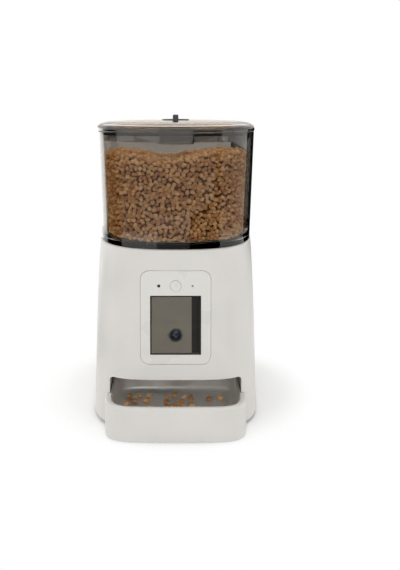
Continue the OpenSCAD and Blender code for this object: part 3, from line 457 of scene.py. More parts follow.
# Smoke-tinted acrylic sheet of the camera window: flat and very glossy
SMOKED_ACRYLIC = Finish("smoked_acrylic_sheet", "#b8b4ad", "#b8b4ad", 0.03, Surface.POLISHED, 4.0, ior=1.49,
                        transmission=1.0)
# Coated optical glass: clear, with a cold blue cast
LENS_GLASS = Finish("coated_lens_glass", "#8492ae", "#8492ae", 0.02, Surface.POLISHED, 2.0, ior=1.6,
                    transmission=1.0)
# Black satin ABS: deep, with a soft sheen on its rounded edges
BLACK_ABS = Finish("satin_black_abs", "#242322", "#1b1a1a", 0.36, Surface.MOULDED, 0.4, 0.06)
# Grey polycarbonate light guide: slightly milky and glossy
LIGHT_GUIDE = Finish("milky_light_guide", "#6a6966", "#5c5b58", 0.2, Surface.POLISHED, 1.0)
# Grey ABS inner tray behind the window: satin, seen through the smoke tint; its light grey is a painted
# reflection, standing in for the bright reflection across the window
REFLECTION_GREY_TRAY = Finish("grey_tray_painted_reflection", "#a8a49c", "#a19d95", 0.5, Surface.MOULDED, 0.5, 0.04)
# Dark grey ABS of the slanted strip beside that tray: satin and nearly black, a painted dark reflection band
# on the window's right side
REFLECTION_DARK_STRIP = Finish("dark_strip_painted_reflection", "#2c2a28", "#252322", 0.5, Surface.MOULDED, 0.5, 0.04)
# Dark textured ABS of the underside: an even, coarse spark-eroded grain
BASE_ABS = Finish("textured_dark_abs", "#3a3938", "#2c2b2b", 0.6, Surface.MOULDED, 0.9, 0.25)
# Rubber: matt and slightly dusty
RUBBER = Finish("matt_black_rubber", "#262525", "#1a1919", 0.78, Surface.MOULDED, 0.7, 0.15)
# Silicone of the feed rotor: soft orange with a skin-like sheen
SILICONE = Finish("orange_silicone", "#d98441", "#cc7636", 0.52, Surface.MOULDED, 0.8, 0.08)
# Natural polypropylene of the cup and its mates inside: milky white and a little waxy
NATURAL_PP = Finish("natural_polypropylene", "#d4d3ce", "#c9c8c3", 0.4, Surface.MOULDED, 0.8, 0.05)
# Satin stainless sheet: fine brushed lines that smear reflections sideways
STAINLESS = Finish("brushed_stainless_sheet", "#efeeeb", "#dfdedb", 0.55, Surface.BRUSHED, 0.5, 0.03,
                   metallic=1.0)
# Zinc-plated steel of screws, shaft and motor: bright with a faint cloud
ZINC = Finish("zinc_plated_steel", "#b9b9bb", "#a2a2a6", 0.32, Surface.MOULDED, 1.2, 0.03, metallic=1.0)
# Turned brass bush: warm yellow with fine tool lines
BRASS = Finish("turned_brass", "#c7a04f", "#b18a3c", 0.3, Surface.BRUSHED, 0.4, 0.04, metallic=1.0)
# Lacquered glass-fibre board: deep green with the weave just showing
BOARD = Finish("lacquered_fibre_board", "#1f5a35", "#174a2a", 0.35, Surface.BONDED, 0.8, 0.05)
# Shrink sleeve of the cells: smooth, dark and glossy
SLEEVE = Finish("plain_shrink_sleeve", "#303033", "#28282b", 0.25, Surface.POLISHED, 2.0, 0.02)
# Bonded fibre pouch of the drying agent: pale, matt and felted
POUCH = Finish("bonded_fibre_pouch", "#dddad0", "#c8c5ba", 0.85, Surface.BONDED, 0.9, 0.3)
# Baked kibble: matt, crumbly tan lumps, each with its own shade
KIBBLE = Finish("baked_kibble", "#f8cc94", "#c98e58", 0.72, Surface.BAKED, 0.9, 0.35)
# Dark brown heap under the lumps: painted shade in the gaps between them
GAP_SHADE = Finish("kibble_gap_painted_shade", "#6f4724", "#4a2e16", 0.85, Surface.MOULDED, 2.5, 0.4)
# Black velvet of the flags: gives back next to no light
VELVET = Finish("black_velvet", "#050505", "#030303", 1.0, Surface.BONDED, 1.0, specular=0.0)
# Grey board of the cards in front: a faint even haze on the clear pieces
GREY_BOARD = Finish("grey_board", "#8e8e8e", "#868686", 1.0, Surface.BONDED, 1.0, specular=0.0)
# Cream board behind: the soft tone along the lid's crest
CREAM_BOARD = Finish("cream_board", "#e9e0d3", "#e4dbcd", 1.0, Surface.BONDED, 1.0, specular=0.0)

SLOT_FINISH = {
    "white_abs": WHITE_ABS, "white_panel": PANEL_ABS, "smoked_clear": SMOKED_SAN,
    "smoked_window": SMOKED_ACRYLIC, "lens_glass": LENS_GLASS, "black_plastic": BLACK_ABS,
    "light_pipe": LIGHT_GUIDE, "base_grey": BASE_ABS, "foot_rubber": RUBBER, "rotor_rubber": SILICONE,
    "cup_plastic": NATURAL_PP, "bowl_steel": STAINLESS, "steel_parts": ZINC, "bush_brass": BRASS,
    "board_green": BOARD, "cell_wrap": SLEEVE, "desiccant_cloth": POUCH,
}


def hand_over(piece: bpy.types.Object, finish: Finish, body: str, slot: str | None, *nodes: str) -> None:
    """Dress a finished piece and tie it to its body and the solids that it stands for.

    Args:
        piece: The finished piece.
        finish: Finish that it gets.
        body: Body that it rides on.
        slot: Material slot of the record, or none for what the feeder only holds; not used.
        nodes: Solids that it replaces.
    """
    finish.dress(piece)
    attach(piece, body)
    if nodes:
        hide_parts(*nodes)
    LOG.info("%s: %d faces on %s", piece.name, len(piece.data.polygons), body)


@dataclass
class Housing:
    """White housing: a lofted shell with the mouth, the panel seat and the inlet hole."""

    foot_width: float = 184.0
    seam_width: float = 172.0
    foot_z: float = 3.0
    height: float = 188.5
    wall: float = 2.8
    foot_square: float = 3.9
    seam_square: float = 2.65
    square_ease: float = 5.0
    edge: float = 1.8
    ledge_width: float = 4.2
    ledge_drop: float = 3.0
    ledge_thickness: float = 2.4
    mouth_width: float = 139.0
    mouth_low: float = -4.0
    mouth_top: float = 54.6
    mouth_corner: float = 4.0
    mouth_fillet: float = 0.9
    mouth_depth: float = 42.0
    seat_fillet: float = 0.75
    seat_depth: float = 12.0
    inlet_z: float = 62.0
    inlet_radius: float = 5.5
    inlet_depth: float = 6.0
    # How far a cutting tool stands out of the face
    tool_reach: float = 3.0

    @property
    def seam_z(self) -> float:
        """Height of the seam under the hopper."""
        return self.foot_z + self.height

    @property
    def lean(self) -> float:
        """Angle by which the front leans back."""
        return math.atan((self.foot_width - self.seam_width) / 2 / self.height)

    def width(self, z: float, inset: float = 0.0) -> float:
        """Width at a height, drawn in from the outer face."""
        return mix(self.foot_width, self.seam_width, (z - self.foot_z) / self.height) - 2 * inset

    def square(self, z: float) -> float:
        """Squareness of the outline at a height."""
        share = max(0.0, (z - self.foot_z) / self.height)
        return mix(self.foot_square, self.seam_square, share ** self.square_ease)

    def ring(self, z: float, inset: float = 0.0) -> Ring:
        """Outline at a height, drawn in from the outer face."""
        return outline(self.width(z, inset), self.width(z, inset), self.square(z), z)

    def front(self, x: float, z: float) -> float:
        """Y of the front face at a place on it."""
        half, n = self.width(z) / 2, self.square(z)
        return -half * max(1e-6, 1 - min(1.0, abs(x) / half) ** n) ** (1 / n)

    def opening(self, name: str, edge: Edge, fillet: float, depth: float) -> bpy.types.Object:
        """Tool that cuts an opening with a rounded edge into the curved front.

        Args:
            name: Name of the tool.
            edge: Gives the opening's outline, as X and Z, grown by a distance.
            fillet: Radius of the rounded edge.
            depth: How far the tool reaches inwards.

        Returns:
            The tool.
        """
        flare, cap = 0.5, 2.0
        steps = [(fillet + flare, -self.tool_reach)]
        steps += [(rise, drawn) for drawn, rise in quarter(fillet)]
        steps += [(0.0, depth)]
        rings = [[(x, self.front(x, z) + d, z) for x, z in edge(grow)] for grow, d in steps]
        before = min(p[1] for p in rings[0]) - cap
        behind = max(p[1] for p in rings[-1]) + cap
        first = [(x, before, z) for x, _, z in rings[0]]
        last = [(x, behind, z) for x, _, z in rings[-1]]
        return loft(name, [first, *rings, last])

    def mouth_edge(self, grow: float) -> list[Pair]:
        """Outline of the mouth, open below the foot.

        Args:
            grow: Distance by which it is grown.

        Returns:
            X and Z of its points.
        """
        half, top, r = self.mouth_width / 2 + grow, self.mouth_top + grow, self.mouth_corner + grow
        right = [(half, z) for z in span(self.mouth_low, top - r, 12)[:-1]]
        right += [(half - r + r * math.cos(t), top - r + r * math.sin(t)) for t in angles(QUARTER, 8)]
        upper = [(x, top) for x in span(half - r, r - half, 60)[1:-1]]
        left = [(-x, z) for x, z in reversed(right)]
        lower = [(x, self.mouth_low) for x in span(-half, half, 20)[1:-1]]
        return right + upper + left + lower

    def build(self, seat: Edge) -> None:
        """Make and dress the housing shell with its openings.

        Args:
            seat: Outline of the panel's seat, grown by a distance.
        """
        low, high = self.foot_z, self.seam_z
        ledge_z, ledge_in = high - self.ledge_drop, self.wall + self.ledge_width
        under_z = ledge_z - self.ledge_thickness
        levels = span(low + self.edge, high - self.edge, 30)[1:-1]
        rings = [self.ring(low + rise, drawn) for drawn, rise in reversed(quarter(self.edge))]
        rings += [self.ring(z) for z in levels]
        rings += [self.ring(high - rise, drawn) for drawn, rise in quarter(self.edge)]
        rings += [self.ring(high, self.wall), self.ring(ledge_z, self.wall), self.ring(ledge_z, ledge_in)]
        rings += [self.ring(under_z, ledge_in), self.ring(under_z - self.ledge_width, self.wall)]
        rings += [self.ring(z, self.wall) for z in reversed(levels[:-3:4])]
        rings += [self.ring(low, self.wall)]
        shell = loft("housing_shell", rings, closed=True)
        carve(shell, self.opening("mouth_tool", self.mouth_edge, self.mouth_fillet, self.mouth_depth))
        carve(shell, self.opening("seat_tool", seat, self.seat_fillet, self.seat_depth))
        back = Matrix.Translation((0, self.width(self.inlet_z) / 2, self.inlet_z))
        back @= Matrix.Rotation(self.lean - QUARTER, 4, "X")
        carve(shell, revolve("inlet_tool", rod(self.inlet_radius, -self.inlet_depth, self.tool_reach), back))
        soften(shell)
        hand_over(shell, WHITE_ABS, "base", "white_abs", "body_shell")


@dataclass
class CameraPanel:
    """Flat front panel with the smoked window, the lens, the feed button and two dots."""

    housing: Housing
    width: float = 73.3
    height: float = 98.5
    z: float = 120.6
    corner: float = 9.5
    edge: float = 0.7
    thickness: float = 1.9
    sink: float = 0.7
    gap: float = 0.1
    window_width: float = 53.1
    window_height: float = 62.3
    window_rise: float = -8.0
    window_lip: float = 1.5
    window_thickness: float = 1.2
    gasket_thickness: float = 0.03
    gasket_gap: float = 0.1
    lens_rise: float = -18.6
    lens_radius: float = 6.85
    glass_radius: float = 4.5
    glass_gap: float = 0.05
    button_rise: float = 33.3
    button_radius: float = 5.65
    button_gap: float = 0.15
    button_proud: float = 0.3
    dot_x: float = 17.5
    dot_gap: float = 0.05
    sensor_radius: float = 1.5
    light_radius: float = 0.8
    board_depth: float = 14.0
    post_radius: float = 2.4
    post_offset: float = 2.7
    post_inset: float = 16.0
    microphone_rise: float = -5.1
    microphone_radius: float = 0.8
    # Right-hand edge of the grey inner tray, where its painted reflection gives way to the painted dark band
    # beside it
    dark_band_edge: float = 16.6
    carrier_z: Pair = (-3.4, -2.2)
    strip_drop: float = 6.0

    @property
    def place(self) -> Matrix:
        """Panel frame: X to the right, Y up the leaning front, Z outwards from the face."""
        front = self.housing.width(self.z) / 2 - self.sink
        return Matrix.Translation((0, -front, self.z)) @ Matrix.Rotation(QUARTER - self.housing.lean, 4, "X")

    def seat(self, grow: float) -> list[Pair]:
        """Outline of the panel's seat in the housing.

        Args:
            grow: Distance by which it is grown.

        Returns:
            X and Z of its points.
        """
        room = self.gap + grow
        tilt = math.cos(self.housing.lean)
        corners = rounded(self.width + 2 * room, self.height + 2 * room, self.corner + room)
        return [(x, self.z + y * tilt) for x, y in corners]

    def at(self, x: float, y: float) -> Matrix:
        """Panel frame moved to a place on the face."""
        return self.place @ Matrix.Translation((x, y, 0))

    def slab(self, name: str, x: Pair, y: Pair, z: Pair) -> bpy.types.Object:
        """Plain block in the panel frame, used as a tool or a plate."""
        corners = [(x[0], y[0]), (x[1], y[0]), (x[1], y[1]), (x[0], y[1])]
        return loft(name, [[(a, b, h) for a, b in corners] for h in z], place=self.place)

    def window_slab(self, name: str, inset: float, z: Pair) -> bpy.types.Object:
        """Block on the window's outline, drawn in by a distance, between two depths."""
        half_w, half_h = self.window_width / 2 - inset, self.window_height / 2 - inset
        return self.slab(name, (-half_w, half_w), (self.window_rise - half_h, self.window_rise + half_h), z)

    def build(self) -> None:
        """Make and dress everything on the panel."""
        self.build_plate()
        self.build_lens()
        self.build_button()
        self.build_painted_reflection()
        self.build_gasket()
        frame["nodes"]["panel_window"].visible_shadow = False

    def build_plate(self) -> None:
        """Panel plate with softened edges, its openings and the posts behind it."""
        rings = [[(x, y, -self.thickness) for x, y in rounded(self.width, self.height, self.corner)]]
        for drawn, rise in quarter(self.edge, 5):
            edge = rounded(self.width - 2 * drawn, self.height - 2 * drawn, self.corner - drawn)
            rings.append([(x, y, -rise) for x, y in edge])
        plate = loft("camera_panel", rings, place=self.place)
        deep, high = self.thickness + 1, 2.0
        carve(plate, self.window_slab("window_tool", 0.0, (-self.window_thickness, high)))
        carve(plate, self.window_slab("opening_tool", self.window_lip, (-deep, high)))
        chamfer, wider, top = 0.25, 0.2, 1.0
        for x, r in ((0, self.button_radius + self.button_gap),
                     (-self.dot_x, self.sensor_radius + self.dot_gap),
                     (self.dot_x, self.light_radius + self.dot_gap)):
            hole = [(0, -deep), (r, -deep), (r, -chamfer), (r + wider, 0.0), (r + wider, top), (0, top)]
            carve(plate, revolve("hole_tool", hole, self.at(x, self.button_rise)))
        post = rod(self.post_radius, -self.board_depth, -1.0)
        for x in (-1, 1):
            for y in (-1, 1):
                spot = self.at(x * (self.window_width / 2 + self.post_offset),
                               y * (self.height / 2 - self.post_inset))
                join(plate, revolve("post", post, spot, 32))
        soften(plate, 4)
        hand_over(plate, PANEL_ABS, "base", "white_panel", "front_panel")

    def build_lens(self) -> None:
        """Black lens ring with stepped baffles, and the glass dome in it."""
        outer, inner, deep = self.lens_radius, self.glass_radius, self.board_depth
        flange, iris = outer + 2, inner - 1.0
        # From the flange on the board, over the rounded rim and down the baffles to the pupil
        ring = [(0, -deep), (flange, -deep), (flange, 2 - deep), (outer, 2 - deep), (outer, -0.2),
                (outer - 0.12, 0.12), (outer - 0.45, 0.3), (inner + 1.35, 0.3), (inner + 1.1, 0.18),
                (inner + 0.95, -0.3), (inner + 0.7, -0.9), (inner + 0.6, -1.0), (inner + 0.45, -1.7),
                (inner, -2.4), (inner, -4.8), (iris, -4.8), (iris, -6.2), (inner - 1.9, -6.4),
                (inner - 2.1, -7.6), (1.1, -7.8), (0.9, -9.0), (0, -9.0)]
        barrel = revolve("lens_ring", ring, self.at(0, self.lens_rise))
        soften(barrel, 25)
        hand_over(barrel, BLACK_ABS, "base", "black_plastic", "lens_barrel")
        r, low, side, crown = inner - self.glass_gap, -4.7, 1.2, 2.1
        arc = [(r * math.sin(t), low + side + crown * math.cos(t)) for t in reversed(angles(QUARTER, 10))]
        profile = [(0, low), (r, low), *arc[:-1], (0, arc[-1][1])]
        dome = revolve("lens_dome", profile, self.at(0, self.lens_rise))
        soften(dome)
        dome.visible_shadow = False
        hand_over(dome, LENS_GLASS, "base", "lens_glass", "lens_glass")

    def build_button(self) -> None:
        """Feed button with a dished face and a raised paw sign."""
        r, top, skirt, stem = self.button_radius, self.button_proud, self.button_radius + 1.4, 2.5
        profile = [(0, -8.2), (stem, -8.2), (stem, -3.2), (skirt, -3.2), (skirt, -2.2), (r, -2.2)]
        profile += [(r - drawn, top - rise) for drawn, rise in quarter(0.45, 5)]
        profile += [(r - 1.0, top - 0.03), (r - 1.6, top - 0.16), (r - 2.6, top - 0.22), (0, top - 0.22)]
        button = revolve("feed_button_cap", profile, self.at(0, self.button_rise))
        proud, root = 0.36, -0.1
        arc = [(math.cos(t), proud * math.sin(t)) for t in angles(QUARTER, 6)[:-1]]
        pad = [(0, root), (1, root), *arc, (0, proud)]
        # Middle and half sizes of the heel pad and the four toe pads
        for x, y, wide, tall in ((0, -1.0, 1.35, 1.1), (-1.75, 0.45, 0.55, 0.75), (-0.65, 1.45, 0.58, 0.8),
                                 (0.65, 1.45, 0.58, 0.8), (1.75, 0.45, 0.55, 0.75)):
            spot = Matrix.Translation((x, self.button_rise + y, top - 0.3))
            spot @= Matrix.Diagonal((wide, tall, 1, 1))
            join(button, revolve("paw", pad, self.place @ spot, 40))
        soften(button)
        hand_over(button, PANEL_ABS, "button", "white_panel", "feed_button")

    def build_painted_reflection(self) -> None:
        """Grey inner tray behind the window, and the dark slanted strip beside it: painted light and dark
        reflection on the window.
        """
        half_w, half_h, rise = self.window_width / 2 - 0.4, self.window_height / 2 + 1.2, self.window_rise
        back, face = self.carrier_z
        carrier = self.slab("window_reflection_tray", (-half_w, self.dark_band_edge), (rise - half_h, rise + half_h),
                            self.carrier_z)
        for name, radius, y, steps in (
                ("lens_tool", self.lens_radius + self.glass_gap, self.lens_rise, 96),
                ("microphone_tool", self.microphone_radius, self.microphone_rise, 24)):
            carve(carrier, revolve(name, rod(radius, -6, 1), self.at(0, y), steps))
        # The grey tray and the dark strip paint the window's reflection, light on the left and a dark band on
        # the right
        hand_over(carrier, REFLECTION_GREY_TRAY, "base", "base_grey")
        near = self.dark_band_edge + 0.05
        section = [(near, face), (near, back)]
        section += [(half_w, z - self.strip_drop) for z in (back, face)]
        ends = [[(x, rise + y, z) for x, z in section] for y in (-half_h, half_h)]
        strip = loft("window_dark_reflection_strip", ends, place=self.place)
        hand_over(strip, REFLECTION_DARK_STRIP, "base", "black_plastic")

    def build_gasket(self) -> None:
        """Thin black frame that beds the window on the panel's lip."""
        low = -self.window_thickness
        gasket = self.window_slab("window_gasket", self.gasket_gap, (low, low + self.gasket_thickness))
        carve(gasket, self.window_slab("gasket_tool", self.window_lip, (low - 1, low + 1)))
        hand_over(gasket, RUBBER, "base", "foot_rubber")


@dataclass
class Hopper:
    """Smoked clear hopper with its funnel and outlet spigot."""

    housing: Housing
    rim_width: float = 177.5
    rim_square: float = 2.75
    height: float = 121.0
    wall: float = 2.6
    edge: float = 0.8
    rim_chamfer: float = 0.3
    step: float = 1.0
    gap: float = 0.3
    funnel_inset: float = 10.5
    funnel_lip: float = 1.4
    shelf_slope: float = 5.0
    funnel_height: float = 31.0
    spigot: float = 4.0
    outlet: float = 54.0

    @property
    def low(self) -> float:
        """Height of the wall's lower edge."""
        return self.housing.seam_z + self.gap

    @property
    def rim_z(self) -> float:
        """Height of the rim."""
        return self.low + self.height

    def ring(self, z: float, inset: float = 0.0) -> Ring:
        """Outline of the wall at a height.

        Args:
            z: Height of the ring.
            inset: Distance in from the outer face.

        Returns:
            The ring.
        """
        share = (z - self.low) / self.height
        width = mix(self.housing.seam_width - 2 * self.step, self.rim_width, share) - 2 * inset
        return outline(width, width, mix(self.housing.seam_square, self.rim_square, share), z)

    def seam_ring(self, inset: float, z: float) -> Ring:
        """Outline of the seam at a height, drawn in from the housing's outer face."""
        width = self.housing.seam_width - 2 * inset
        return outline(width, width, self.housing.seam_square, z)

    def build(self) -> None:
        """Make and dress the hopper."""
        funnel_z = self.housing.seam_z - self.funnel_height
        spigot_z = funnel_z - self.spigot
        bore, inner_rim = self.outlet - self.wall, self.rim_z - self.rim_chamfer
        rings = [circle(self.outlet, spigot_z), circle(self.outlet, funnel_z - 0.8)]
        rings += [circle(self.outlet + 0.4, funnel_z + 0.4), self.seam_ring(self.funnel_inset, self.low)]
        rings += [self.ring(self.low + rise, drawn) for drawn, rise in reversed(quarter(self.edge))]
        rings += [self.ring(z) for z in span(self.low + self.edge, self.rim_z - self.edge, 14)[1:-1]]
        rings += [self.ring(self.rim_z - rise, drawn) for drawn, rise in quarter(self.edge)]
        rings += [self.ring(self.rim_z, self.wall - self.rim_chamfer), self.ring(inner_rim, self.wall)]
        shelf = self.low + self.wall + self.shelf_slope
        rings += [self.ring(z, self.wall) for z in span(inner_rim, shelf + 3, 14)[1:]]
        rings += [self.ring(shelf, self.wall + 0.8), self.ring(shelf - 2.0, self.wall + 3.2)]
        rings += [self.seam_ring(self.funnel_inset + self.funnel_lip, self.low + self.wall)]
        rings += [circle(bore, funnel_z + self.funnel_lip), circle(bore, spigot_z)]
        hopper = loft("hopper_shell", rings, closed=True)
        soften(hopper)
        hopper.visible_shadow = False
        hand_over(hopper, SMOKED_SAN, "hopper", "smoked_clear", "hopper")
        frame["nodes"]["hopper_floor"].visible_shadow = False


@dataclass
class Lid:
    """Smoked lid with a low crown, the knob's well and the guard tube, and its seal and knob."""

    hopper: Hopper
    lap: float = 0.5
    side: float = 3.0
    round_width: float = 16.0
    round_height: float = 6.8
    crown: float = 1.3
    wall: float = 2.4
    chamfer: float = 0.3
    skirt: float = 10.0
    skirt_gap: float = 2.8
    skirt_thickness: float = 2.0
    seal_height: float = 3.4
    seal_gap: float = 0.72
    seal_lip: float = 0.45
    knob_radius: float = 15.6
    knob_gap: float = 0.4
    well_depth: float = 5.3
    well_floor: float = 2.5
    well_wall: float = 1.8
    fin_thickness: float = 6.5
    fin_rise: float = 6.2
    fin_shoulder: float = 4.0
    fin_taper: float = 3.4
    fin_edge: float = 1.1
    dish_proud: float = 1.0
    dish_ease: float = 1.7
    dish_wall: float = 2.2
    spindle: float = 4.0
    spindle_gap: float = 0.05
    spindle_foot: float = 5.0
    tube_radius: float = 21.9
    tube_wall: float = 1.8
    tube_drop: float = 16.2

    @property
    def z(self) -> float:
        """Height of the lid's lower edge."""
        return self.hopper.rim_z + self.hopper.gap

    @property
    def crown_z(self) -> float:
        """Height of the crown's middle."""
        return self.z + self.side + self.round_height + self.crown

    @property
    def skirt_inset(self) -> float:
        """Distance from the lid's edge to the outside of its skirt."""
        return self.lap + self.hopper.wall + self.skirt_gap

    def ring(self, z: float, inset: float = 0.0, squared: float = 1.0) -> Ring:
        """Outline of the lid at a height, with a share of the rim's squareness, drawn in from its edge."""
        width = self.hopper.rim_width + 2 * self.lap - 2 * inset
        return outline(width, width, mix(2.0, self.hopper.rim_square, squared), z)

    def round_z(self, inset: float) -> float:
        """Height of the rounded edge at a distance in from the side."""
        return self.z + self.side + self.round_height * math.sqrt(1 - (1 - inset / self.round_width) ** 2)

    def round_rings(self, start: float, drop: float) -> list[Ring]:
        """Rings over the rounded edge, lowered by a distance.

        Args:
            start: Distance in from the side where they start.
            drop: Distance that they are lowered.

        Returns:
            The rings from the side towards the crown.
        """
        first = math.acos(1 - start / self.round_width)
        insets = [self.round_width * (1 - math.cos(t)) for t in span(first, QUARTER, 12)]
        return [self.ring(self.round_z(inset) - drop, inset) for inset in insets]

    def crown_rings(self, drop: float) -> list[Ring]:
        """Rings over the crown from the rounded edge to the tube.

        Args:
            drop: Distance that they are lowered.

        Returns:
            The rings from the rounded edge inwards.
        """
        last = self.hopper.rim_width / 2 + self.lap - self.tube_radius
        low = self.round_z(self.round_width)
        rings = []
        for share in span(0.0, 1.0, 8)[1:]:
            height = mix(low, self.crown_z, 1 - (1 - share) ** 2)
            rings.append(self.ring(height - drop, mix(self.round_width, last, share), 1 - share ** 2))
        return rings

    def build(self) -> None:
        """Make and dress the lid, its seal and its knob."""
        well_z = self.crown_z - self.well_depth
        below_z = well_z - self.well_floor
        well_r = self.knob_radius + self.knob_gap
        well_out = well_r + self.well_wall
        bore = self.spindle + self.spindle_gap
        tube_in, tube_z = self.tube_radius - self.tube_wall, self.hopper.rim_z - self.tube_drop
        under = self.crown_z - self.wall
        inner = self.skirt_inset + self.skirt_thickness
        skirt_z = self.hopper.rim_z - self.skirt
        rings = [self.ring(self.z + self.chamfer), self.ring(self.z + self.side / 2)]
        rings += self.round_rings(0.0, 0.0) + self.crown_rings(0.0)
        rings += [circle(well_r + 0.5, self.crown_z), circle(well_r + 0.1, self.crown_z - 0.15)]
        rings += [circle(well_r, self.crown_z - 0.6), circle(well_r, well_z), circle(bore, well_z)]
        rings += [circle(bore, below_z), circle(well_out, below_z), circle(well_out, under)]
        rings += [circle(tube_in, under), circle(tube_in, tube_z), circle(self.tube_radius, tube_z)]
        rings += list(reversed(self.round_rings(inner, self.wall) + self.crown_rings(self.wall)))
        rings += [self.ring(skirt_z, inner), self.ring(skirt_z, self.skirt_inset)]
        rings += [self.ring(self.round_z(inset) - self.wall, inset)
                  for inset in (self.skirt_inset, self.wall)]
        rings += [self.ring(self.z, self.wall), self.ring(self.z, self.chamfer)]
        lid = loft("lid_shell", rings, closed=True)
        soften(lid)
        lid.visible_shadow = False
        hand_over(lid, SMOKED_SAN, "lid", "smoked_clear", "lid")
        self.build_seal()
        self.build_knob(well_z)

    def build_seal(self) -> None:
        """Rubber seal round the skirt, with a rounded lip."""
        top = self.hopper.rim_z - self.hopper.gap
        outer, inner = self.lap + self.hopper.wall + self.seal_gap, self.skirt_inset - 0.1
        lip = [(self.seal_lip * (1 - math.sin(t)), math.cos(t)) for t in angles(math.pi, 8)]
        rings = [self.ring(top - self.seal_height / 2 * (1 - h), outer + a) for a, h in reversed(lip)]
        rings += [self.ring(top, inner), self.ring(top - self.seal_height, inner)]
        seal = loft("lid_seal_ring", rings, closed=True)
        soften(seal)
        hand_over(seal, RUBBER, "lid", "foot_rubber", "lid_seal")

    def build_knob(self, well_z: float) -> None:
        """Dished knob with its fin and spindle.

        Args:
            well_z: Height of the well's floor.
        """
        low, r, hub = well_z + self.hopper.gap, self.knob_radius, self.spindle + 1.5
        rim, floor = self.crown_z + self.dish_proud, low + self.dish_wall
        foot = self.hopper.rim_z - self.tube_drop + self.spindle_foot
        shares = span(0.0, 1.0, 8)
        dish = [(0, foot), (self.spindle, foot), (self.spindle, low), (hub, low)]
        dish += [(mix(hub, r, k), low + (rim - 1.6 - low) * k ** self.dish_ease) for k in shares[1:]]
        dish += [(r - 0.05, rim - 0.5), (r - 0.3, rim - 0.1), (r - 0.8, rim), (r - 1.3, rim - 0.12)]
        dish += [(mix(r - 1.6, self.spindle, k), mix(floor, rim - 0.35, (1 - k) ** self.dish_ease))
                 for k in shares]
        dish += [(0, floor)]
        knob = revolve("lock_knob_dish", dish)
        top, length = self.crown_z + self.fin_rise, 2 * r - 2.2
        rings = []
        for drawn, rise in [(0.0, top - low - 1.5), (0.0, self.fin_shoulder), *quarter(self.fin_edge, 5)]:
            taper = self.fin_taper * max(0.0, 1 - rise / self.fin_shoulder)
            edge = rounded(self.fin_thickness - 2 * drawn, length - 2 * drawn - taper,
                           self.fin_thickness / 2 - drawn - 0.05, 10, 4)
            rings.append([(x, y, top - rise) for x, y in edge])
        join(knob, loft("fin", rings))
        soften(knob)
        hand_over(knob, BLACK_ABS, "knob", "black_plastic", "lock_knob")


@dataclass(frozen=True)
class Footprint:
    """Rounded-square plan of the tray, its drawer, its cavity or the bowl."""

    width: float
    front: float
    back: float
    square: float

    def ring(self, z: float, inset: float = 0.0) -> Ring:
        """Ring of the plan at a height, drawn in by a distance."""
        return outline(self.width - 2 * inset, self.back - self.front - 2 * inset, self.square, z,
                       (self.front + self.back) / 2)


@dataclass
class BowlTray:
    """Pull-out tray with its rounded front, and the steel bowl in it."""

    housing: Housing
    front: float = -114.5
    back: float = -19.0
    width: float = 148.0
    square: float = 5.6
    rim: float = 37.0
    lift: float = 1.0
    soft: float = 2.2
    flare: float = 0.8
    wall: float = 2.4
    drawer_width: float = 137.8
    drawer_z: float = 6.3
    drawer_wall: float = 1.3
    sheet: float = 0.8
    bowl_lift: float = 0.1
    bowl_drop: float = 0.8
    bowl_depth: float = 28.0
    gap: float = 0.3

    @property
    def cavity(self) -> Footprint:
        """Plan of the tray's cavity."""
        return Footprint(self.drawer_width - 2 * self.drawer_wall, self.front + self.wall + self.soft,
                         self.back - self.drawer_wall, self.square + 1)

    def build(self) -> None:
        """Make and dress the tray and the bowl."""
        low, high, cavity, flare = self.lift, self.rim, self.cavity, self.flare
        whole = Footprint(self.width, self.front, self.back, self.square)
        block = [whole.ring(low + rise / 2, drawn / 2) for drawn, rise in reversed(quarter(self.soft))]
        block += [whole.ring(high - rise, drawn) for drawn, rise in quarter(self.soft)]
        tray = loft("bowl_tray", block)
        core = [self.housing.ring(z, -self.gap) for z in (low - 1, 12.0, 25.0, high + 1)]
        carve(tray, loft("core_tool", core))
        drawer = Footprint(self.drawer_width, cavity.front - self.wall / 2, self.back, cavity.square)
        carve(tray, loft("drawer", [drawer.ring(z) for z in (self.drawer_z, high - 0.1)]), Carve.ADD)
        floor = self.drawer_z + self.wall
        hollow = [cavity.ring(floor), cavity.ring(high - flare)]
        hollow += [cavity.ring(high - flare + flare * math.sin(t), -flare * (1 - math.cos(t)))
                   for t in angles(QUARTER, 5)[1:]]
        hollow += [cavity.ring(high + 2, -flare)]
        carve(tray, loft("hollow_tool", hollow))
        soften(tray)
        hand_over(tray, WHITE_ABS, "tray", "white_abs", "food_tray")
        self.build_bowl(floor + self.bowl_lift)

    def build_bowl(self, low: float) -> None:
        """Pressed steel bowl with a wide floor radius and a rolled rim.

        Args:
            low: Height of the bowl's underside.
        """
        room = self.cavity
        plan = Footprint(room.width - 2 * self.gap, room.front + self.gap, room.back - self.gap, room.square)
        high, t = self.rim - self.bowl_drop, self.sheet
        section = [(10 - 9.0 * math.sin(a), 7.0 * (1 - math.cos(a))) for a in angles(QUARTER, 10)]
        section += [(0.0, high - low - 1.2)]
        rings = [plan.ring(low + rise, inset) for inset, rise in section]
        rings += [plan.ring(high - 0.3), plan.ring(high, 0.25), plan.ring(high, t - 0.2)]
        rings += [plan.ring(low + t + rise * (1 - t / self.bowl_depth), inset + t)
                  for inset, rise in reversed(section)]
        bowl = loft("steel_bowl_sheet", rings)
        soften(bowl)
        hand_over(bowl, STAINLESS, "tray", "bowl_steel", "steel_bowl")


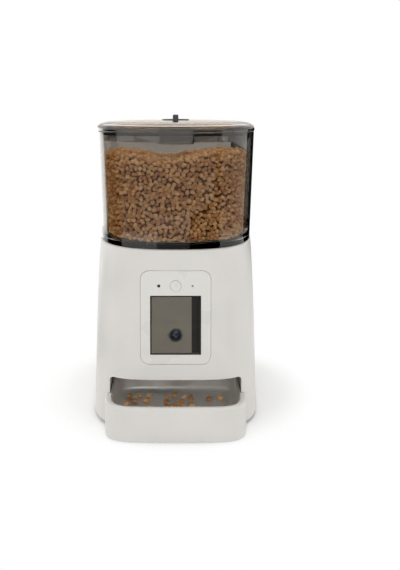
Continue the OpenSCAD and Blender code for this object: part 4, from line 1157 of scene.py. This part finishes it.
@dataclass
class Kibble:
    """Dry food in the hopper and in the bowl."""

    hopper: Hopper
    tray: BowlTray
    level: float = 286.0
    clear: float = 6.2
    size: float = 2.9
    spacing: float = 4.15
    squash: Point = (1.0, 0.84, 0.66)
    growth: Pair = (0.82, 1.06)
    lift: Pair = (-0.5, 2.2)
    tumble: float = 0.8
    # Most lumps on a square metre before the spacing thins them
    density: float = 2.5e5
    seed: int = 7
    lump_half: float = 3.5
    lump_thick: float = 2.1

    def top(self, x: float, y: float) -> float:
        """Height of the heap's top, which lies higher at its front and dips left of the middle.

        Args:
            x: Place from the left to the right.
            y: Place from the front to the back.

        Returns:
            The height there.
        """
        bank = 3.0 * (x / 85) ** 2
        dip = 7.5 * math.exp(-((x + 12) / 30) ** 2)
        return self.level - 0.03 * y + bank - dip + 0.7 * math.sin(x / 7) * math.cos(y / 9)

    def build(self) -> None:
        """Make and dress the filling and the portion in the bowl."""
        self.build_filling()
        self.build_portion()

    def crowned(self, ring: Ring, share: float, drop: float) -> Ring:
        """Ring of the heap's top at a share of its width, lowered by a distance."""
        return [(x * share, y * share, self.top(x * share, y * share) - drop) for x, y, _ in ring]

    def skin(self, name: str, deep: float, foot: Sequence[Ring] = ()) -> bpy.types.Object:
        """Closed surface of the heap.

        Args:
            name: Name of the surface.
            deep: How far it lies inside the outer layer, in millimetres.
            foot: Rings below the hopper's shelf, from the lowest up.

        Returns:
            The surface as a piece.
        """
        inset = self.hopper.wall + self.clear + deep
        sides = [self.hopper.ring(z, inset) for z in (198.5, 215.0, 230.0, 245.0, 260.0, 270.0)]
        wide = self.hopper.ring(290.0, inset)
        # Share of the width and drop of each ring, from the shoulder to the middle
        crown = [(1.0, 2.6), (0.985, 0.8)]
        crown += [(share, 0.0) for share in (0.95, 0.85, 0.7, 0.55, 0.4, 0.25, 0.1)]
        rings = [*foot, *sides, *(self.crowned(wide, share, drop + deep) for share, drop in crown)]
        return loft(name, rings, ends=((0.0, 0.0, rings[0][0][2]), (0.0, 0.0, self.top(0, 0) - deep)))

    def build_filling(self) -> None:
        """Heap that fills the hopper, dark brown as painted shade in the gaps, covered with two layers of
        kibble.
        """
        foot = [circle(46.0, 160.6), circle(46.5, 164.0), self.hopper.seam_ring(18.0, 196.0)]
        heap = self.skin("kibble_heap", 2.4, foot)
        soften(heap, 60)
        # The heap's dark brown is painted shade that shows between the lumps
        hand_over(heap, GAP_SHADE, "hopper", None)
        for name, deep, seed, rings, segments in (("kibble_filling", 0.0, self.seed, 5, 7),
                                                  ("kibble_underlayer", 1.9, self.seed + 4, 4, 6)):
            layer = self.skin(name, deep)
            self.scatter(layer, seed, rings, segments)
            hand_over(layer, KIBBLE, "hopper", None)

    def scatter(self, skin: bpy.types.Object, seed: int, rings: int, segments: int) -> None:
        """Turn a surface into the layer of kibble that lies on it.

        Args:
            skin: Object whose surface carries the kibble; it becomes the kibble.
            seed: Number that sets where the lumps lie.
            rings: Rings of faces on a lump.
            segments: Faces round a lump.
        """
        tree = bpy.data.node_groups.new("kibble_layer", "GeometryNodeTree")
        sockets = {}
        for name, kind in (("Surface", "Geometry"), ("Spacing", "Float"), ("Size", "Float"), ("Seed", "Int"),
                           ("Finish", "Material")):
            sockets[name] = tree.interface.new_socket(
                name=name, in_out="INPUT", socket_type=f"NodeSocket{kind}")
        tree.interface.new_socket(name="Kibble", in_out="OUTPUT", socket_type="NodeSocketGeometry")
        given = add_node(tree, "NodeGroupInput").outputs
        spread = add_node(tree, "GeometryNodeDistributePointsOnFaces", {"distribute_method": "POISSON"}, {
            "Mesh": given["Surface"], "Distance Min": given["Spacing"], "Density Max": self.density,
            "Seed": given["Seed"]})
        # Lumps on top lie at uneven heights
        faced = add_node(tree, "ShaderNodeSeparateXYZ", inputs={"Vector": spread.outputs["Normal"]})
        upward = add_node(tree, "ShaderNodeMath", {"operation": "MAXIMUM"}, {0: faced.outputs["Z"], 1: 0.0})
        lift = add_node(tree, "FunctionNodeRandomValue", {"data_type": "FLOAT"}, {
            2: self.lift[0] * MM, 3: self.lift[1] * MM, "Seed": 5})
        raised = add_node(tree, "ShaderNodeMath", {"operation": "MULTIPLY"}, {
            0: lift.outputs[1], 1: upward.outputs[0]})
        offset = add_node(tree, "ShaderNodeCombineXYZ", inputs={"Z": raised.outputs[0]})
        laid = add_node(tree, "GeometryNodeSetPosition", inputs={
            "Geometry": spread.outputs["Points"], "Offset": offset.outputs["Vector"]})
        lump = add_node(tree, "GeometryNodeMeshUVSphere", inputs={
            "Segments": segments, "Rings": rings, "Radius": given["Size"]})
        pressed = add_node(tree, "GeometryNodeTransform", inputs={
            "Geometry": lump.outputs["Mesh"], "Scale": self.squash})
        smooth = add_node(tree, "GeometryNodeSetShadeSmooth", inputs={
            "Geometry": pressed.outputs["Geometry"]})
        most = (self.tumble, self.tumble, 3.14)
        tumble = add_node(tree, "FunctionNodeRandomValue", {"data_type": "FLOAT_VECTOR"}, {
            0: tuple(-angle for angle in most), 1: most, "Seed": given["Seed"]})
        turn = add_node(tree, "FunctionNodeEulerToRotation", inputs={"Euler": tumble.outputs[0]})
        turned = add_node(tree, "FunctionNodeRotateRotation", {"rotation_space": "LOCAL"}, {
            "Rotation": spread.outputs["Rotation"], "Rotate By": turn.outputs["Rotation"]})
        scale = add_node(tree, "FunctionNodeRandomValue", {"data_type": "FLOAT"}, {
            2: self.growth[0], 3: self.growth[1], "Seed": given["Seed"]})
        placed = add_node(tree, "GeometryNodeInstanceOnPoints", inputs={
            "Points": laid.outputs["Geometry"], "Instance": smooth.outputs["Geometry"],
            "Rotation": turned.outputs["Rotation"], "Scale": scale.outputs[1]})
        shade = add_node(tree, "FunctionNodeRandomValue", {"data_type": "FLOAT"}, {
            2: 0.0, 3: 1.0, "Seed": 11})
        shaded = add_node(tree, "GeometryNodeStoreNamedAttribute", {
            "data_type": "FLOAT", "domain": "INSTANCE"}, {
            "Geometry": placed.outputs["Instances"], "Name": "shade", "Value": shade.outputs[1]})
        real = add_node(tree, "GeometryNodeRealizeInstances", inputs={"Geometry": shaded.outputs["Geometry"]})
        finish = add_node(tree, "GeometryNodeSetMaterial", inputs={
            "Geometry": real.outputs["Geometry"], "Material": given["Finish"]})
        add_node(tree, "NodeGroupOutput", inputs={"Kibble": finish.outputs["Geometry"]})
        step = skin.modifiers.new("kibble", "NODES")
        step.node_group = tree
        for name, value in (("Spacing", self.spacing * MM), ("Size", self.size * MM), ("Seed", seed),
                            ("Finish", KIBBLE.material())):
            step[sockets[name].identifier] = value
        settle(skin)

    def portion_places(self, chance: random.Random) -> list[Point]:
        """Places of the lumps in the bowl: a low heap of three layers at the front, single ones round it.

        Args:
            chance: Source of the random draws.

        Returns:
            X, Y and layer of each lump.
        """
        cavity = self.tray.cavity
        heap_x, heap_y, heap_apart = 8, cavity.front + 34, 6.4
        places: list[Point] = []
        for layer, reach_x, reach_y, tries in ((0, 27, 12, 1200), (1, 21, 8, 640), (2, 12, 4, 240)):
            for _ in range(tries):
                turn, share = chance.uniform(0, 6.28), math.sqrt(chance.random())
                x, y = heap_x + reach_x * share * math.cos(turn), heap_y + reach_y * share * math.sin(turn)
                if all(p[2] != layer or math.dist((x, y), p[:2]) > heap_apart for p in places):
                    places.append((x, y, float(layer)))
        lumps, apart = len(places) + 24, 8.2
        middle_y = (cavity.front + cavity.back) / 2
        for _ in range(2000):
            x, y = chance.uniform(-54, 54), middle_y + chance.uniform(-24, 30)
            if len(places) < lumps and all(math.dist((x, y), p[:2]) > apart for p in places):
                places.append((x, y, 0.0))
        return places

    def lump(self, chance: random.Random, place: Point, rows: int, cols: int) -> tuple[list[Vector], float]:
        """One lump that lies in the bowl.

        Args:
            chance: Source of the random draws.
            place: X, Y and layer of the lump.
            rows: Rows of faces from its foot to its top.
            cols: Faces round it.

        Returns:
            Its points, from the foot to the top, and its shade.
        """
        x, y, layer = place
        tilt, full_turn = 0.12, 6.28
        lean = (chance.uniform(-tilt, tilt), chance.uniform(-tilt, tilt), chance.uniform(0, full_turn))
        turn = Euler(lean).to_matrix()
        grow, shade = chance.uniform(0.92, 1.08), chance.random()
        half, thick = self.lump_half * grow, self.lump_thick * grow
        floor = self.tray.drawer_z + self.tray.wall + self.tray.bowl_lift + self.tray.sheet
        centre = Vector((x, y, floor + 0.15 + thick + layer * 1.7 * self.lump_thick))
        points = [Vector((0, 0, -thick))]
        for t in angles(math.pi, rows)[1:-1]:
            for a in angles(2 * math.pi, cols)[:-1]:
                uneven = 1 + 0.06 * math.sin(3 * a + 7 * shade) + 0.04 * math.sin(5 * a + 3 * t)
                side = half * math.sin(t) ** 0.75 * uneven
                points.append(Vector((side * math.cos(a), 0.9 * side * math.sin(a), -thick * math.cos(t))))
        points.append(Vector((0, 0, thick)))
        return [centre + turn @ p for p in points], shade

    def build_portion(self) -> None:
        """Portion of kibble that lies on the bowl's floor."""
        chance = random.Random(self.seed)
        rows, cols = 7, 14
        points: list[Vector] = []
        faces: list[tuple[int, ...]] = []
        shades: list[float] = []
        for place in self.portion_places(chance):
            start = len(points)
            lump, shade = self.lump(chance, place, rows, cols)
            points += lump
            shades += [shade] * len(lump)
            last = len(points) - 1
            top = last - cols
            faces += [(start, start + 1 + (k + 1) % cols, start + 1 + k) for k in range(cols)]
            for a in range(start + 1, top, cols):
                b = a + cols
                faces += [(a + k, a + (k + 1) % cols, b + (k + 1) % cols, b + k) for k in range(cols)]
            faces += [(last, top + k, top + (k + 1) % cols) for k in range(cols)]
        portion = new_piece("kibble_portion", points, faces)
        layer = portion.data.attributes.new("shade", "FLOAT", "POINT")
        layer.data.foreach_set("value", shades)
        portion.data.shade_smooth()
        hand_over(portion, KIBBLE, "tray", None)


@dataclass(frozen=True)
class SoftBox:
    """One soft studio lamp, turned to the object; its sizes are metres."""

    name: str
    place: Point
    size: Pair
    power: float
    lights: bool = True
    shows: bool = True
    tint: Point = (1.0, 1.0, 1.0)
    aim_z: float = 0.17

    def build(self) -> None:
        """Make the lamp, which lights surfaces, shows in reflections, or does both."""
        lamp = bpy.data.lights.new(self.name, "AREA")
        lamp.shape = "RECTANGLE"
        lamp.size, lamp.size_y = self.size
        lamp.energy = self.power
        lamp.color = self.tint
        holder = bpy.data.objects.new(self.name, lamp)
        holder.location = self.place
        aim = Vector((0, AXIS_Y, self.aim_z)) - Vector(self.place)
        holder.rotation_euler = aim.to_track_quat("-Z", "Y").to_euler()
        holder.visible_camera = False
        holder.visible_diffuse = self.lights
        holder.visible_glossy = self.shows
        holder.visible_transmission = self.shows
        bpy.context.scene.collection.objects.link(holder)


LAMPS = (
    SoftBox("key", (0.15, -1.3, 1.05), (1.3, 0.9), 4.7),
    SoftBox("low_fill", (0.1, -1.05, 0.095), (1.4, 0.15), 4.2),
    SoftBox("top", (0.0, 0.1, 1.5), (1.0, 0.8), 10.0, shows=False),
    SoftBox("rim_left", (-1.2, 0.25, 0.5), (0.8, 1.0), 9.0, shows=False),
    SoftBox("rim_right", (1.2, 0.3, 0.5), (0.8, 1.0), 6.0, shows=False),
    SoftBox("lid_card", (0.0, 1.0, 1.25), (2.0, 1.1), 8.0, lights=False, tint=(1.0, 0.96, 0.9)),
    SoftBox("side_left", (-0.5, 0.66, 0.17), (0.66, 0.36), 0.5),
)
# Card on the floor: first and last angle in degrees, near and far radius, and height of its far wall
Sector = tuple[int, int, float, float, float]
# Card that stands: its two ends in plan, its lower edge and its upper edge
Wall = tuple[Pair, Pair, float, float]


@dataclass
class Studio:
    """Pale floor, white surround, soft lamps and the camera; sizes of camera and floor are metres."""

    lens_mm: float = 36.63
    sensor_mm: float = 36.0
    distance: float = 0.675
    camera_z: float = 0.3366
    pitch: float = 4.41
    shift: Pair = (0.0428, -0.23)
    ambient: float = 0.35
    floor_reach: float = 6.0
    floor_colour: str = "#f4f4f3"
    # Where the floor starts and ends to turn evenly white, about a middle behind the frame's origin
    fade: Pair = (0.1, 0.145)
    fade_back: float = 0.022
    fade_side: float = 0.86

    def build(self) -> None:
        """Make the whole studio."""
        self.build_camera()
        self.build_world()
        self.build_floor()
        for lamp in LAMPS:
            lamp.build()
        self.build_flags()
        bpy.context.scene.view_settings.view_transform = "Standard"

    def build_flags(self) -> None:
        """Flags and cards that only reflections and the clear pieces see, as beside a glossy product."""
        near, mid, far, high = 200, 800, 1350, 150
        wing = (1, 310)
        self.build_cards("dark_flags", VELVET, ((-118, -69, near, far, high), (8, 48, near, far, high)), (
            ((145, -900), (700, -680), *wing), ((-784, -250), (-700, 330), *wing),
            ((147, 590), (750, 330), *wing)))
        self.build_cards("grey_cards", GREY_BOARD, (
            (-69, 8, mid, far, high), (48, 118, mid, far, high), (-12, 8, near, mid, 2)), (
            ((-450, -600), (450, -600), 100, 240),))
        self.build_cards("cream_card", CREAM_BOARD, (), (((-700, 1000), (700, 1000), 315, 520),))

    def build_cards(self, name: str, finish: Finish, sectors: Sequence[Sector],
                    walls: Sequence[Wall]) -> None:
        """Make one set of flat cards that no lamp, floor or camera sees.

        Args:
            name: Name of the set.
            finish: Finish of its cards.
            sectors: Cards that lie on the floor, each with a wall at its far end.
            walls: Cards that stand.
        """
        standing, floor_z = list(walls), 1.0
        points: list[Point] = []
        for start, end, near, far, high in sectors:
            turns = [math.radians(angle) for angle in span(start, end, 12)]
            inner, outer = ([(r * math.sin(a), -r * math.cos(a)) for a in turns] for r in (near, far))
            standing += [(a, b, floor_z, high) for a, b in zip(outer, outer[1:])]
            for k in range(len(turns) - 1):
                points += [(x, y, floor_z) for x, y in (inner[k], inner[k + 1], outer[k + 1], outer[k])]
        for (x0, y0), (x1, y1), low, high in standing:
            points += [(x0, y0, low), (x1, y1, low), (x1, y1, high), (x0, y0, high)]
        cards = new_piece(name, points, [(k, k + 1, k + 2, k + 3) for k in range(0, len(points), 4)])
        finish.dress(cards)
        cards.visible_camera = False
        cards.visible_diffuse = False
        cards.visible_shadow = False

    def build_camera(self) -> None:
        """Camera at the photograph's viewing angle."""
        lens = bpy.data.cameras.new("photo_camera")
        lens.lens = self.lens_mm
        lens.sensor_width = self.sensor_mm
        lens.shift_x, lens.shift_y = self.shift
        lens.clip_end = 50.0
        camera = bpy.data.objects.new("photo_camera", lens)
        camera.location = (0, AXIS_Y - self.distance, self.camera_z)
        camera.rotation_euler = (math.radians(90 - self.pitch), 0, 0)
        bpy.context.scene.collection.objects.link(camera)
        bpy.context.scene.camera = camera

    @staticmethod
    def seen(tree: bpy.types.NodeTree) -> bpy.types.NodeSocket:
        """One where a camera, glossy or transmitted ray looks, and nought for light.

        Args:
            tree: Tree that gets the nodes.

        Returns:
            The socket with that value.
        """
        path = add_node(tree, "ShaderNodeLightPath")
        pair = add_node(tree, "ShaderNodeMath", {"operation": "MAXIMUM"}, {
            0: path.outputs["Is Camera Ray"], 1: path.outputs["Is Glossy Ray"]})
        return add_node(tree, "ShaderNodeMath", {"operation": "MAXIMUM"}, {
            0: pair.outputs[0], 1: path.outputs["Is Transmission Ray"]}).outputs[0]

    def build_world(self) -> None:
        """White surround for the eye and a gentle even light for the object."""
        world = bpy.data.worlds.new("white_surround")
        world.use_nodes = True
        tree = world.node_tree
        tree.nodes.clear()
        level = add_node(tree, "ShaderNodeMix", inputs={0: self.seen(tree), 2: self.ambient, 3: 1.0})
        shine = add_node(tree, "ShaderNodeBackground", inputs={
            "Color": (1, 1, 1, 1), "Strength": level.outputs[0]})
        add_node(tree, "ShaderNodeOutputWorld", inputs={"Surface": shine.outputs[0]})
        bpy.context.scene.world = world

    def build_floor(self) -> None:
        """Pale matt floor that keeps the object's shadow."""
        half = self.floor_reach / MM
        corners = [(-half, -half, 0), (half, -half, 0), (half, half, 0), (-half, half, 0)]
        floor = new_piece("studio_floor", corners, [(0, 1, 2, 3)])
        paper = bpy.data.materials.new("white_paper_floor")
        paper.use_nodes = True
        tree = paper.node_tree
        tree.nodes.clear()
        matt = add_node(tree, "ShaderNodeBsdfDiffuse", inputs={"Color": linear(self.floor_colour)})
        white = add_node(tree, "ShaderNodeEmission")
        place = add_node(tree, "ShaderNodeTexCoord")
        middle = add_node(tree, "ShaderNodeMapping", inputs={
            "Vector": place.outputs["Object"], "Location": (0.0, -self.fade_back, 0.0),
            "Scale": (self.fade_side, 1.0, 1.0)})
        reach = add_node(tree, "ShaderNodeVectorMath", {"operation": "LENGTH"}, {0: middle.outputs["Vector"]})
        # The paper is lit evenly a short way out, as on a sweep
        far = add_node(tree, "ShaderNodeMapRange", {"interpolation_type": "SMOOTHSTEP"}, {
            "Value": reach.outputs["Value"], "From Min": self.fade[0], "From Max": self.fade[1],
            "To Min": 0.0, "To Max": 1.0})
        share = add_node(tree, "ShaderNodeMath", {"operation": "MULTIPLY"}, {
            0: self.seen(tree), 1: far.outputs[0]})
        both = add_node(tree, "ShaderNodeMixShader", inputs={
            0: share.outputs[0], 1: matt.outputs[0], 2: white.outputs[0]})
        add_node(tree, "ShaderNodeOutputMaterial", inputs={"Surface": both.outputs[0]})
        floor.data.materials.append(paper)


def dress_solids() -> None:
    """Give every carried-over solid the finish of its slot."""
    for part in frame["record"]["subparts"]:
        SLOT_FINISH[part["material_slot"]].dress(frame["nodes"][part["node"]])


def main() -> None:
    """Build the feeder and its studio."""
    logging.basicConfig(level=logging.INFO, format="%(name)s %(message)s")
    dress_solids()
    housing = Housing()
    panel = CameraPanel(housing)
    housing.build(panel.seat)
    panel.build()
    hopper = Hopper(housing)
    hopper.build()
    Lid(hopper).build()
    tray = BowlTray(housing)
    tray.build()
    Kibble(hopper, tray).build()
    Studio().build()


if __name__ == "__main__":
    main()
